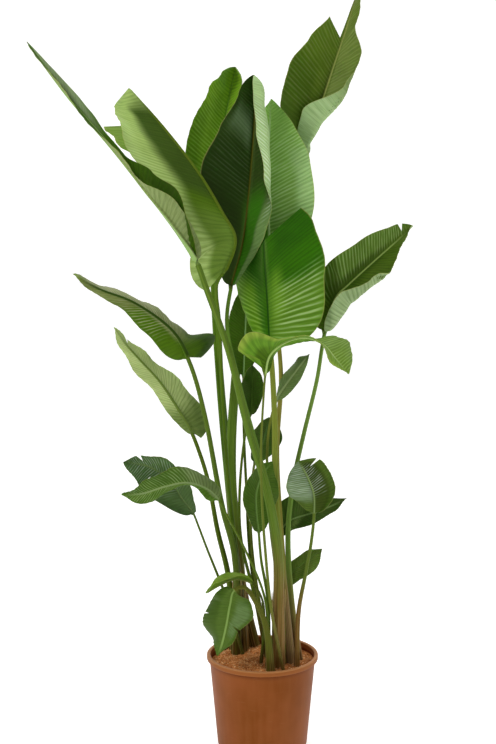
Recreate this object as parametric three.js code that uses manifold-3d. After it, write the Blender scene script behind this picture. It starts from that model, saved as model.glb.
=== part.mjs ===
// A giant bird of paradise (Strelitzia nicolai) in its plastic nursery pot.
// Units are millimetres and +Z is up. The origin is the middle of the pot's foot, on the ground,
// -Y is the plant's front and +X its right. Every leaf is one piece from the tip of its blade to the
// sheathing foot of its stalk, which stands in a hole in the coir.
import * as THREE from "three";
import { mergeVertices } from "three/addons/utils/BufferGeometryUtils.js";
import Module from "manifold-3d";

const wasm = await Module();
wasm.setup();

// ---------------------------------------------------------------- driving dimensions
const POT = {
  height: 238, // ground to the top of the rim
  rimRadius: 135, // a 27 cm pot
  lipDepth: 12, // height of the rolled rim
  mouthRadius: 128, // outside of the wall just under the rim
  footRadius: 109, // outside of the wall just above the foot
  footHeight: 17, // the wall stands on a narrower slotted foot
  footInset: 5,
  lipRoll: 2.6, // how far the edges of the rim are rounded
  wall: 2.2,
  slots: 10, // drain slots round the foot
  slotWidth: 24,
  slotHeight: 7,
  slotDepth: 30,
  sides: 36,
};
const SOIL = {
  level: 224, // height of the coir at its middle
  crown: 6, // how far it is heaped above its edge
  lump: 3, // height of the coir's lumps
  wallGap: 0.9, // between the coir's corners and the pot's round wall
  rings: 3,
  sides: 18,
};
const CLEARANCE = 0.4; // gap between pieces that touch
const STALK_DEPTH = 195; // height of the buried end of every stalk
const BLADE = 1.1; // thickness of a leaf blade
const RIB_TIP = 1.2; // half the midrib's width at the tip
const KEEL = 1.6; // how far the midrib stands out underneath, against half its width
const VEIN_SWEEP = 0.14; // how far a side vein runs towards the tip, as a share of the blade's length
const CLASP = 1.3; // how much wider than thick a stalk is at its sheathing foot
const NECK = 0.012; // where the stalk ends under the blade, as a share of the stalk
const STALK_RINGS = 6; // stretches that a stalk is built in
const SPINE_STEPS = 400; // steps in which the length of a stalk and midrib is measured
const SHEATH = { thickness: 1.6, gap: 0.5, bottom: -0.985, rows: 4, columns: 10 };

// ---------------------------------------------------------------- the leaves
// path: from the foot of the stalk to the tip of the blade, which starts at the point numbered base.
// stalk: radius at the foot and at the neck. face: where the upper side looks, at the blade's base and tip.
// width, fold and curl: left side, then right side, looking from base to tip with the upper side up.
// Lists run from base to tip. Folds and curls are degrees. A tear is its side, its place, what is left of the
// blade's width there, half its gap and, where more than one vein is torn off, the place where it ends.
const LEAVES = {
  leaf_far_left: {
    colour: 0x2f5f1c,
    path: [[38, -42, STALK_DEPTH], [38, -62, 390], [33, -92, 525], [5, -110, 680], [-35, -124, 815],
      [-80, -130, 995], [-130, -131, 1135], [-152, -130, 1195], [-190, -127, 1255], [-255, -118, 1340],
      [-335, -105, 1440], [-435, -90, 1555], [-530, -70, 1680]],
    base: 7, stalk: [16, 6.5], face: [[0.6, -0.6, 0.5], [0.6, -0.5, 0.6]],
    width: [[50, 46, 22, 22, 24, 26, 24], [30, 44, 62, 38, 12, 12, 20, 24, 24, 22, 20]],
    fold: [[135, 100, 34, 28, 28, 28, 28], [40, 35, 40]], curl: [[20, 20, 10, 10, 10], [75, 20, 15, 10]],
    sweep: 0.06,
    wave: [4, 3], lines: 12, across: 3,
  },
  leaf_left_folded: {
    colour: 0x5d7a3a,
    path: [[-42, 60, STALK_DEPTH], [-54, 70, 380], [-80, 58, 605], [-96, 38, 855], [-103, 12, 1045],
      [-108, -10, 1135], [-88, -18, 1170], [-66, -30, 1240], [-95, -40, 1300], [-145, -45, 1385],
      [-225, -50, 1490], [-305, -55, 1580]],
    base: 6, stalk: [9, 4], face: [[-1, -0.1, 0.2], [-0.7, 0.1, -0.6]],
    width: [[60, 80, 110, 170, 250, 250], [165, 125, 105, 112, 130, 300]],
    fold: [[64, 60, 50, 44, 44], [64, 74, 84, 80]], curl: [[5, 5, 5], [10, 30, 60, 80, 90]],
    lobes: [10, 65],
    sweep: 0.3, tears: [[0, 0.78, 0.15, 0.012, 1]],
    wave: [4, 3], lines: 11, across: 3,
  },
  leaf_upright_left: {
    colour: 0x3f7a25,
    path: [[-14, 104, STALK_DEPTH], [-52, 124, 365], [-82, 128, 640], [-104, 126, 890], [-117, 121, 1115],
      [-115, 116, 1260], [-105, 115, 1400], [-90, 113, 1520], [-65, 108, 1645]],
    base: 5, stalk: [13, 8.5], face: [[-0.2, -1, 0.1], [-0.1, -1, 0.2]],
    width: [[70, 88, 90, 88, 86, 118, 320], [60, 70, 60, 60, 300]],
    fold: [[20, 25, 30], [15, 20, 30]], curl: [[20, 20, 40, 100], [10, 20, 40, 80]],
    wave: [3, 2], lines: 10, across: 3,
  },
  leaf_centre_dark: {
    colour: 0x1f4a1a,
    path: [[46, -2, STALK_DEPTH], [42, 8, 390], [5, 18, 660], [-52, 25, 880], [-85, 27, 1035],
      [-74, 26, 1130], [-50, 26, 1220], [-35, 28, 1330], [-25, 31, 1445], [-20, 36, 1540],
      [-22, 45, 1620]],
    base: 5, stalk: [9, 4.5], face: [[0.1, -1, 0.1], [0, -1, 0.1]],
    width: [[60, 110, 120, 95, 75, 110], [30, 54, 82, 96, 105, 260]],
    fold: [[10, 10, 15], [10, 12, 15]], curl: [[10, 10, 15], [150, 170, 170]],
    curlFrom: [[0, 0], [1, 0.9, 0.5, 0.35, 0.3, 0.3]],
    crease: [1, 0.4],
    wave: [4, 2], lines: 12, across: 5,
  },
  leaf_centre_back: {
    colour: 0x86a368,
    path: [[72, 10, STALK_DEPTH], [57, 28, 360], [42, 45, 560], [35, 60, 730], [45, 70, 900],
      [36, 80, 1020], [20, 86, 1165], [15, 92, 1305], [15, 98, 1450], [20, 105, 1570]],
    base: 6, stalk: [9, 4.5], face: [[0.1, 1, 0.1], [0.3, 1, 0]],
    width: [[100, 114, 102, 86, 74], [60, 70, 60, 60, 60]],
    fold: [[0, 0, 0], [10, 10, 10]], curl: [[10, 10, 10], [10, 15, 15]],
    wave: [4, 2], lines: 10, across: 3,
  },
  leaf_top_right: {
    colour: 0x3a5a26,
    path: [[-46, 85, STALK_DEPTH], [-57, 94, 420], [-76, 98, 645], [-70, 112, 840], [-44, 134, 1040],
      [65, 150, 1320], [100, 160, 1435], [120, 165, 1500], [150, 165, 1585], [175, 165, 1660],
      [200, 160, 1735], [220, 155, 1800], [235, 155, 1840]],
    base: 6, stalk: [13, 8.5], face: [[0, -1, 0.3], [-0.1, -1, 0.2]],
    width: [[60, 114, 106, 82, 64, 56, 50], [60, 92, 74, 64, 24, 34, 50]],
    fold: [[15, 15, 20], [15, 20, 25]], curl: [[10, 15, 20], [165, 165, 165]],
    curlFrom: [[0, 0], [0, 0.15, 0.68, 1, 1, 1, 1]],
    crease: [1, 0.3],
    wave: [5, 2], lines: 12, across: 5, tears: [[0, 0.68, 0.15, 0.012, 1]],
  },
  leaf_centre_front: {
    colour: 0x336b1e,
    path: [[70, -20, STALK_DEPTH], [48, -21, 425], [31, -21, 620], [28, -19, 815], [21, -15, 945],
      [15, -12, 1005], [10, -6, 1095], [3, 18, 1210], [0, 55, 1335]],
    base: 5, stalk: [11, 6], face: [[0.1, -1, 0.2], [0, -1, 0.3]],
    width: [[85, 108, 95, 50], [190, 150, 124, 112, 100]],
    fold: [[-25, -25, -20], [5, 5, 0]], curl: [[-40, -40, -20], [-10, -15, -10]],
    sweep: 0.3,
    lobes: [10, 20],
    wave: [3, 2], lines: 10, across: 3, tears: [[1, 0.69, 0.12, 0.012, 1]],
  },
  leaf_right: {
    colour: 0x3d5526,
    path: [[94, -4, STALK_DEPTH], [68, 4, 390], [62, 15, 545], [76, 25, 665], [100, 34, 775],
      [130, 42, 900], [150, 50, 1020], [175, 50, 1100], [205, 50, 1130], [265, 50, 1185], [320, 45, 1235],
      [355, 40, 1270]],
    base: 6, stalk: [7.5, 4.5], face: [[-0.6, -0.9, 0.5], [-0.3, -0.7, 0.6]],
    width: [[60, 74, 62, 60, 84], [110, 108, 84, 60, 26, 14]],
    fold: [[20, 25, 25], [10, 10, 15]], curl: [[20, 20, 20], [165, 165, 165]],
    curlFrom: [[0, 0], [0.4, 0.5, 0.68, 1, 1, 1]],
    crease: [1, 0.25],
    wave: [4, 3], lines: 11, across: 5, tears: [[0, 0.9, 0.4, 0.02]],
  },
  leaf_front_drooping: {
    colour: 0x86ad55,
    path: [[54, -66, STALK_DEPTH], [20, -94, 375], [5, -118, 525], [-3, -128, 645], [-5, -135, 775],
      [0, -130, 880], [5, -130, 940], [15, -125, 980], [50, -125, 1010], [95, -120, 1020],
      [135, -120, 1005], [165, -115, 970], [195, -110, 935]],
    base: 6, stalk: [3.5, 2.5], face: [[-0.3, 1, 0.3], [0.3, -0.7, 0.6]],
    width: [[20, 12, 20, 84, 140, 200], [135, 110, 24, 14, 16, 20, 24, 24, 22, 22, 22]],
    fold: [[5, 5, 5], [10, 5, 5]], curl: [[-20, -20, -20], [-20, -20, -20]],
    lobes: [0, -35],
    wave: [5, 2], lines: 10, across: 3,
  },
  leaf_mid_left: {
    colour: 0x6d9040,
    path: [[-64, 48, STALK_DEPTH], [-66, 40, 460], [-98, 20, 600], [-135, 0, 810], [-160, -14, 915],
      [-180, -20, 970], [-200, -25, 1010], [-232, -28, 1045], [-305, -32, 1095], [-380, -37, 1125],
      [-440, -45, 1160]],
    base: 5, stalk: [9, 5], face: [[-0.4, 0.8, -0.4], [0, 0.8, -0.5]],
    width: [[330, 70, 34, 40, 44, 46, 48, 52, 60, 62, 60], [75, 48, 22, 18, 14]],
    fold: [[15, 20, 30], [20, 25, 30]], curl: [[20, 40, 60, 60, 50], [20, 20, 20]],
    lobes: [30, 8],
    wave: [4, 3], lines: 11, across: 3,
  },
  leaf_lower_left: {
    colour: 0x7da04c,
    path: [[-72, 76, STALK_DEPTH], [-82, 70, 400], [-110, 60, 530], [-132, 46, 655], [-155, 34, 735],
      [-172, 27, 780], [-200, 21, 830], [-245, 19, 900], [-290, 21, 950], [-330, 25, 995],
      [-355, 30, 1030]],
    base: 5, stalk: [8, 4.5], face: [[-0.4, 0.9, -0.2], [-0.2, 0.9, -0.4]],
    width: [[110, 50, 28, 24, 20], [30, 30, 30, 25, 20]],
    fold: [[10, 10, 10], [30, 30, 30]], curl: [[10, 15, 15], [20, 20, 20]],
    lobes: [30, 8],
    wave: [4, 3], lines: 10, across: 3, tears: [[0, 0.8, 0.45, 0.025]],
  },
  leaf_low_left_front: {
    colour: 0x4f7a30,
    path: [[10, -50, STALK_DEPTH], [6, -92, 395], [-36, -118, 515], [-86, -126, 615], [-104, -122, 648],
      [-132, -119, 672], [-175, -115, 684], [-225, -110, 674], [-280, -105, 656], [-328, -100, 652]],
    base: 4, stalk: [3, 2.5], face: [[0.2, -0.6, 0.8], [0, -0.7, 0.7]],
    width: [[36, 8, 10, 30, 30, 20], [45, 50, 40, 22]],
    fold: [[-10, -10, -5], [0, 0, 0]], curl: [[-60, -60, -30], [-10, -10, -10]],
    wave: [4, 3], lines: 10, across: 3,
  },
  leaf_low_left_back: {
    colour: 0x5f7350,
    path: [[-40, 34, STALK_DEPTH], [-90, 20, 375], [-134, -18, 505], [-154, -33, 565], [-165, -40, 595],
      [-190, -44, 630], [-222, -50, 678], [-268, -47, 708], [-328, -50, 720]],
    base: 4, stalk: [4, 2.5], face: [[0.3, -0.5, -0.7], [0, -0.8, 0.4]],
    width: [[40, 60, 62, 50], [35, 42, 30, 25]],
    fold: [[10, 10, 10], [10, 10, 10]], curl: [[20, 20, 20], [20, 20, 20]],
    tears: [[0, 0.6, 0.35, 0.03], [1, 0.75, 0.45, 0.03]],
    wave: [4, 3], lines: 9, across: 3,
  },
  leaf_inner_back: {
    colour: 0x2a4a22,
    path: [[12, 112, STALK_DEPTH], [-28, 118, 435], [-40, 120, 640], [-46, 118, 790], [-46, 114, 905],
      [-42, 110, 1000], [-40, 106, 1060], [-35, 100, 1130]],
    base: 4, stalk: [4, 3], face: [[0, -1, 0.1], [0, -1, 0.1]],
    width: [[35, 45, 45, 30], [35, 45, 45, 30]],
    fold: [[20, 20, 20], [20, 20, 20]], curl: [[10, 10, 10], [10, 10, 10]],
    wave: [3, 2], lines: 7, across: 2,
  },
  leaf_inner_dark: {
    colour: 0x22423a,
    path: [[16, -4, STALK_DEPTH], [-18, 34, 365], [-52, 46, 510], [-55, 52, 635], [-42, 58, 765],
      [-30, 62, 815], [-26, 66, 860], [-24, 66, 935]],
    base: 5, stalk: [4, 3], face: [[0.2, -1, 0.2], [0.2, -1, 0.1]],
    width: [[25, 35, 30], [25, 30, 25]],
    fold: [[25, 25, 25], [25, 25, 25]], curl: [[10, 10, 10], [10, 10, 10]],
    wave: [2, 2], lines: 6, across: 2,
  },
  leaf_inner_right: {
    colour: 0x6f8a5a,
    path: [[52, 26, STALK_DEPTH], [36, 50, 405], [14, 56, 605], [15, 50, 775], [35, 42, 855],
      [60, 41, 895], [85, 40, 930], [112, 40, 965]],
    base: 4, stalk: [5, 3], face: [[0.5, 0.8, -0.4], [0.4, 0.8, -0.4]],
    width: [[22, 22, 16, 12], [25, 35, 30, 25]],
    fold: [[15, 15, 15], [15, 15, 15]], curl: [[10, 10, 10], [20, 20, 20]],
    wave: [3, 2], lines: 7, across: 2,
  },
  leaf_inner_low: {
    colour: 0x2d5a2e,
    path: [[14, -28, STALK_DEPTH], [12, -42, 385], [-4, -52, 485], [-10, -56, 555], [-15, -58, 600],
      [-15, -58, 650], [0, -58, 692], [22, -56, 722]],
    base: 3, stalk: [5, 3], face: [[0.1, -1, 0.1], [0.2, -1, 0.3]],
    width: [[25, 35, 35, 25], [35, 55, 50, 30]],
    fold: [[20, 20, 15], [10, 5, 5]], curl: [[10, 10, 10], [-20, -20, -20]],
    wave: [3, 2], lines: 8, across: 2,
  },
  leaf_inner_middle: {
    colour: 0x2a4840,
    path: [[26, 18, STALK_DEPTH], [-12, 64, 375], [-28, 72, 525], [-24, 76, 650], [-18, 80, 695],
      [0, 82, 740], [18, 82, 805]],
    base: 4, stalk: [4, 3], face: [[0.2, -1, 0.3], [0.2, -1, 0.2]],
    width: [[25, 35, 30], [30, 45, 35]],
    fold: [[15, 15, 15], [10, 10, 10]], curl: [[10, 10, 10], [10, 10, 10]],
    wave: [2, 2], lines: 6, across: 2,
  },
  leaf_low_right_torn: {
    colour: 0x3f7028,
    path: [[82, -44, STALK_DEPTH], [86, -42, 355], [101, -46, 445], [115, -50, 530], [121, -52, 600],
      [119, -54, 645], [104, -54, 685], [84, -50, 722]],
    base: 4, stalk: [6, 3.5], face: [[0, -1, 0.3], [0, -0.8, 0.6]],
    width: [[40, 58, 60, 70], [50, 62, 62, 90]],
    fold: [[10, 10, 5], [20, 15, 10]], curl: [[-20, -20, -10], [60, 50, 30]],
    curlFrom: [[0, 0], [0.4, 0.4]],
    wave: [3, 2], lines: 8, across: 3, tears: [[0, 0.72, 0.35, 0.03], [1, 0.78, 0.4, 0.03]],
  },
  leaf_low_right_back: {
    colour: 0x35602c,
    path: [[66, 44, STALK_DEPTH], [47, 60, 355], [35, 68, 460], [42, 66, 515], [65, 60, 550],
      [120, 54, 572], [165, 48, 590], [205, 42, 612]],
    base: 3, stalk: [4, 2.5], face: [[-0.3, -0.8, 0.5], [-0.2, -0.8, 0.5]],
    width: [[60, 60, 25, 14], [30, 30, 20, 12]],
    fold: [[10, 10, 10], [15, 10, 10]], curl: [[10, 10, 10], [-20, -10, -10]],
    wave: [3, 2], lines: 8, across: 2,
  },
  leaf_small_right: {
    colour: 0x3c6e2c,
    path: [[86, 26, STALK_DEPTH], [67, 40, 335], [62, 46, 395], [75, 50, 425], [105, 55, 450],
      [148, 60, 482]],
    base: 2, stalk: [3.5, 2.5], face: [[-0.3, -0.8, 0.6], [-0.2, -0.8, 0.6]],
    width: [[28, 22, 16], [30, 35, 18]],
    fold: [[10, 10, 10], [10, 10, 10]], curl: [[-10, -10, -10], [-30, -20, -10]],
    wave: [3, 2], lines: 6, across: 2,
  },
  leaf_base_curled: {
    colour: 0x8aa050,
    path: [[-6, -26, STALK_DEPTH], [4, -42, 330], [-3, -58, 395], [-25, -66, 432], [-65, -72, 444],
      [-100, -79, 432], [-135, -82, 412]],
    base: 3, stalk: [4, 2.5], face: [[0.1, 0, 1], [-0.2, 0, 1]],
    width: [[20, 25, 16], [20, 25, 16]],
    fold: [[25, 25, 20], [25, 25, 20]], curl: [[20, 20, 20], [20, 20, 20]],
    wave: [2, 2], lines: 6, across: 2,
  },
  leaf_base_front: {
    colour: 0x4e8230,
    path: [[20, -78, STALK_DEPTH], [8, -90, 330], [-18, -102, 400], [-45, -110, 436], [-68, -115, 428],
      [-77, -118, 395], [-86, -120, 345], [-95, -119, 305], [-105, -116, 272]],
    base: 4, stalk: [10, 5], face: [[0, -0.7, 0.7], [-0.2, -1, 0.2]],
    width: [[60, 66, 30, 22, 16], [62, 70, 70, 44, 22]],
    fold: [[-10, -10, -10], [-10, -10, -10]], curl: [[-30, -30, -20], [-35, -35, -20]],
    tears: [[0, 0.45, 0.5, 0.012], [1, 0.34, 0.78, 0.012]],
    wave: [4, 2], lines: 8, across: 3,
  },
};

// Dry sheaths of old leaves, each round the foot of a stalk, from the coir to a torn top edge. Places are
// shares of the stalk, and the two ends of its arc are degrees with the stalk's upper side at 90.
const SHEATHS = {
  old_sheath_front: { on: "leaf_far_left", colour: 0x7d7a3c, top: -0.78, arc: [200, 400], torn: 0.05 },
  old_sheath_back: { on: "leaf_inner_middle", colour: 0x6b4a2b, top: -0.68, arc: [180, 380], torn: 0.04 },
  old_sheath_left: { on: "leaf_mid_left", colour: 0x6e5230, top: -0.7, arc: [20, 230], torn: 0.05 },
};

// ---------------------------------------------------------------- helpers
const vector = (p) => new THREE.Vector3(...p);
const radians = THREE.MathUtils.degToRad;
const mix = THREE.MathUtils.lerp;
const smooth = (x) => THREE.MathUtils.smoothstep(x, 0, 1);

// A value from a list that is spread evenly from the blade's base, where s is 0, to its tip, where s is 1.
function along(list, s) {
  const place = Math.min(Math.max(s, 0), 1) * (list.length - 1);
  const i = Math.min(Math.floor(place), list.length - 2);
  return mix(list[i], list[i + 1], smooth(place - i));
}

// A closed geometry as a solid for joining and cutting, and back again.
function solid(geometry) {
  const plain = geometry.clone();
  plain.deleteAttribute("normal");
  plain.deleteAttribute("uv");
  const merged = mergeVertices(plain, 1e-4);
  return new wasm.Manifold(
    new wasm.Mesh({
      numProp: 3,
      vertProperties: merged.attributes.position.array,
      triVerts: new Uint32Array(merged.index.array),
    }),
  );
}
function geometryOf(made) {
  const mesh = made.getMesh();
  const geometry = new THREE.BufferGeometry();
  geometry.setAttribute("position", new THREE.BufferAttribute(mesh.vertProperties, 3));
  geometry.setIndex(new THREE.BufferAttribute(mesh.triVerts, 1));
  return geometry;
}

// A closed skin through rings of points that all have the same count and turn the same way. The diagonals
// change over half way round, so that both faces of a thin blade are split alike, and each end is closed by
// a strip between the two halves of its ring.
function loft(rings) {
  const count = rings[0].length;
  const last = (rings.length - 1) * count;
  const faces = [];
  for (let i = 0; i < last; i += count)
    for (let j = 0; j < count; j++) {
      const a = i + j;
      const b = i + ((j + 1) % count);
      if (2 * j < count) faces.push(a, b, b + count, a, b + count, a + count);
      else faces.push(a, b, a + count, b, b + count, a + count);
    }
  for (let j = 0; 2 * j + 2 < count; j++) {
    const k = count - 1 - j;
    faces.push(j, k - 1, j + 1, j, k, k - 1);
    faces.push(last + j, last + j + 1, last + k - 1, last + j, last + k - 1, last + k);
  }
  const geometry = new THREE.BufferGeometry();
  const places = rings.flat().flatMap((point) => point.toArray());
  geometry.setAttribute("position", new THREE.Float32BufferAttribute(places, 3));
  geometry.setIndex(faces);
  return geometry;
}

// ---------------------------------------------------------------- a leaf
// The stalk and midrib are one smooth line through the leaf's points, measured by its length.
function spineOf(leaf) {
  const curve = new THREE.CatmullRomCurve3(leaf.path.map(vector));
  curve.arcLengthDivisions = SPINE_STEPS;
  const length = curve.getLength();
  const baseStep = Math.round((SPINE_STEPS * leaf.base) / (leaf.path.length - 1));
  return { curve, length, start: curve.getLengths()[baseStep] / length };
}

// The place and directions at s: 0 is the blade's base, 1 its tip and -1 the foot of the stalk.
function frameAt(leaf, spine, s) {
  const share = s < 0 ? spine.start * (1 + s) : mix(spine.start, 1, s);
  const inside = Math.min(Math.max(share, 0), 1);
  const forward = spine.curve.getTangentAt(inside);
  const at = spine.curve.getPointAt(inside).addScaledVector(forward, (share - inside) * spine.length);
  const up = vector(leaf.face[0]).lerp(vector(leaf.face[1]), Math.min(Math.max(s, 0), 1));
  up.addScaledVector(forward, -up.dot(forward)).normalize();
  const side = new THREE.Vector3().crossVectors(forward, up);
  return { at, forward, up, side };
}

// How long the side veins at s are, as a share of the longest: the base is round and the tip tapers.
function outline(s) {
  return Math.sin(Math.PI * s ** 0.75) ** mix(0.42, 0.8, s);
}

// The point of the blade's section at s that lies d from the midrib: how far out and up it is, and how far
// the blade has turned there. The blade leaves the midrib at its fold angle. From curlFrom of its width on,
// its curl bends it evenly, up to the margin or over the share of its width that is its crease.
function section(leaf, side, s, d) {
  const width = Math.max(along(leaf.width[side], s) * outline(s), 1);
  const fold = radians(along(leaf.fold[side], s));
  const curl = radians(along(leaf.curl[side], s));
  const from = leaf.curlFrom ? along(leaf.curlFrom[side], s) : 0;
  const bend = width * (leaf.crease?.[side] ?? 1 - from);
  const straight = Math.min(d, from * width);
  const bent = Math.min(d - straight, bend);
  const beyond = d - straight - bent;
  const turned = (curl * bent) / bend;
  const turn = fold + turned;
  let out = Math.cos(fold) * straight;
  let up = Math.sin(fold) * straight;
  if (Math.abs(turned) > 1e-4) {
    out += (bent / turned) * (Math.sin(turn) - Math.sin(fold));
    up += (bent / turned) * (Math.cos(fold) - Math.cos(turn));
  } else {
    out += Math.cos(fold) * bent;
    up += Math.sin(fold) * bent;
  }
  out += Math.cos(turn) * beyond;
  up += Math.sin(turn) * beyond;
  const [height, waves] = leaf.wave;
  const wave = height * (d / width) ** 2 * Math.sin(2 * Math.PI * (waves * s + 0.3 * side));
  return { out: out - wave * Math.sin(turn), up: up + wave * Math.cos(turn), turn };
}

// The side veins along which the blade is built, with what is left of their length on either side. A tear
// cuts one vein short, or all of them from its place up to another.
function veinLines(leaf) {
  const whole = () => [1, 1];
  let lines = [];
  for (let i = 0; i < leaf.lines; i++) lines.push({ s: (i + 0.55) / leaf.lines, keep: whole() });
  const ends = [0.012, 0.988].map((s) => ({ s, keep: whole() }));
  for (const [side, s, keep, gap, until = s] of leaf.tears ?? []) {
    const room = gap + 0.3 / leaf.lines;
    lines = lines.filter((line) => Math.abs(line.s - s) > room && Math.abs(line.s - until) > room);
    const cut = () => whole().map((full, i) => (i === side ? keep : full));
    const torn = lines.filter((line) => line.s > s && line.s < until);
    for (const line of torn) line.keep = cut();
    lines.push({ s: s - gap, keep: whole() }, { s, keep: cut() });
    if (until > s && until < 1) lines.push({ s: until, keep: cut() });
    if (until < 1) lines.push({ s: until + gap, keep: whole() });
    else ends[1].keep = cut();
  }
  return [...lines, ...ends].sort((a, b) => a.s - b.s);
}

// How thick and how wide the stalk is at s, as radii. It flattens to a sheath at its foot.
function stalkSize(leaf, s) {
  const up = Math.max(1 + s, 0);
  const thin = mix(leaf.stalk[0], leaf.stalk[1], Math.sqrt(up));
  return { thin, wide: thin * mix(CLASP, 1, smooth(up)) };
}

// The point at an angle round the stalk at s, with its skin grown by so much. The stalk's upper side is at
// 90 degrees.
function stalkPoint(leaf, spine, s, angle, grow) {
  const { at, up, side } = frameAt(leaf, spine, s);
  const { thin, wide } = stalkSize(leaf, s);
  return at
    .addScaledVector(side, (wide + grow) * Math.cos(angle))
    .addScaledVector(up, (thin + grow) * Math.sin(angle));
}
function stalkRings(leaf, spine, grow, places) {
  const count = 4 * leaf.across + 2;
  const angle = (j) => Math.PI * (1 - (2 * j + 1) / count);
  return places.map((s) =>
    Array.from({ length: count }, (_, j) => stalkPoint(leaf, spine, s, angle(j), grow)),
  );
}

// A ring round the blade along the side veins that leave the midrib at s: over the upper face from the left
// margin to the right one, and back underneath. The veins sweep forward, and at the base into its lobes.
function bladeRing(leaf, spine, s, keep) {
  const rib = mix(leaf.stalk[1], RIB_TIP, Math.sqrt(s));
  const top = [];
  const under = [];
  for (let j = -leaf.across; j <= leaf.across; j++) {
    const side = j < 0 ? 0 : 1;
    const sign = j < 0 ? -1 : 1;
    const t = Math.abs(j) / leaf.across;
    const width = along(leaf.width[side], s) * outline(s) * keep[side];
    const ribEdge = Math.min(rib, 0.4 * width);
    const d = j === 0 ? 0 : mix(ribEdge, width, (Math.abs(j) - 1) / (leaf.across - 1));
    const sweep = (leaf.sweep ?? VEIN_SWEEP) * Math.sin(Math.PI * s) * t * keep[side];
    const lobe = (leaf.lobes?.[side] ?? 0) * (1 - s) ** 8 * t;
    const here = frameAt(leaf, spine, s + sweep);
    const { out, up, turn } = section(leaf, side, s, d);
    const middle = here.at
      .addScaledVector(here.forward, -lobe)
      .addScaledVector(here.side, sign * out)
      .addScaledVector(here.up, up);
    const normal = here.up.clone();
    if (j !== 0) normal.multiplyScalar(Math.cos(turn)).addScaledVector(here.side, -sign * Math.sin(turn));
    top.push(middle.clone().addScaledVector(normal, BLADE / 2));
    under.unshift(middle.clone().addScaledVector(normal, j === 0 ? -KEEL * rib : -BLADE / 2));
  }
  return [...top, ...under];
}

const STALK_PLACES = Array.from({ length: STALK_RINGS + 1 }, (_, i) => Math.min(i / STALK_RINGS - 1, -NECK));
function leafGeometry(leaf) {
  const spine = spineOf(leaf);
  const blade = veinLines(leaf).map(({ s, keep }) => bladeRing(leaf, spine, s, keep));
  return loft([...stalkRings(leaf, spine, 0, STALK_PLACES), ...blade]);
}

// The room that a stalk takes with its clearance, from a little under its foot.
function stalkRoom(leaf) {
  return solid(loft(stalkRings(leaf, spineOf(leaf), CLEARANCE, [-1.02, ...STALK_PLACES])));
}

// ---------------------------------------------------------------- old sheaths
// A piece of shell round the foot of a stalk: down its outside and back up its inside, row by row.
function sheathGeometry(sheath, grow) {
  const leaf = LEAVES[sheath.on];
  const spine = spineOf(leaf);
  const rings = [];
  for (let row = 0; row <= SHEATH.rows; row++) {
    const ring = [];
    const add = (column, offset) => {
      const share = column / SHEATH.columns;
      const torn = sheath.torn * (column % 3 === 1 ? 1 : 0.4 * Math.sin(5 * share));
      const s = mix(SHEATH.bottom, sheath.top - torn, row / SHEATH.rows);
      ring.push(stalkPoint(leaf, spine, s, mix(...sheath.arc.map(radians), share), offset));
    };
    const outside = SHEATH.gap + SHEATH.thickness + grow;
    for (let column = SHEATH.columns; column >= 0; column--) add(column, outside);
    for (let column = 0; column <= SHEATH.columns; column++) add(column, SHEATH.gap);
    rings.push(ring);
  }
  return loft(rings);
}

// ---------------------------------------------------------------- pot
// A shape turned about the upright axis, from its outline as pairs of radius and height.
function turned(profile, sides) {
  const geometry = new THREE.LatheGeometry(profile.map(([r, z]) => new THREE.Vector2(r, z)), sides);
  return geometry.rotateX(Math.PI / 2);
}
const LIP_BOTTOM = POT.height - POT.lipDepth;
const BAND = POT.footRadius - POT.footInset; // radius of the narrower band that the pot stands on
function potGeometry() {
  const wall = POT.wall;
  const roll = POT.lipRoll;
  let pot = solid(
    turned(
      [
        [0, 0],
        [BAND, 0],
        [BAND, POT.footHeight - POT.footInset],
        [POT.footRadius, POT.footHeight],
        [POT.mouthRadius, LIP_BOTTOM],
        [POT.rimRadius - roll, LIP_BOTTOM],
        [POT.rimRadius, LIP_BOTTOM + roll],
        [POT.rimRadius, POT.height - roll],
        [POT.rimRadius - roll, POT.height],
        [POT.mouthRadius - wall + roll, POT.height],
        [POT.mouthRadius - wall, POT.height - roll],
        [POT.mouthRadius - wall, LIP_BOTTOM],
        [POT.footRadius - wall, POT.footHeight],
        [BAND - wall, POT.footHeight - POT.footInset],
        [BAND - wall, wall],
        [0, wall],
      ],
      POT.sides,
    ),
  );
  for (let i = 0; i < POT.slots; i++) {
    const slot = new THREE.BoxGeometry(POT.slotWidth, POT.slotDepth, POT.slotHeight);
    slot.translate(0, -BAND, 1.5 * wall + POT.slotHeight / 2);
    slot.rotateZ((2 * Math.PI * (i + 0.5)) / POT.slots);
    pot = pot.subtract(solid(slot));
  }
  return geometryOf(pot);
}

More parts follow.
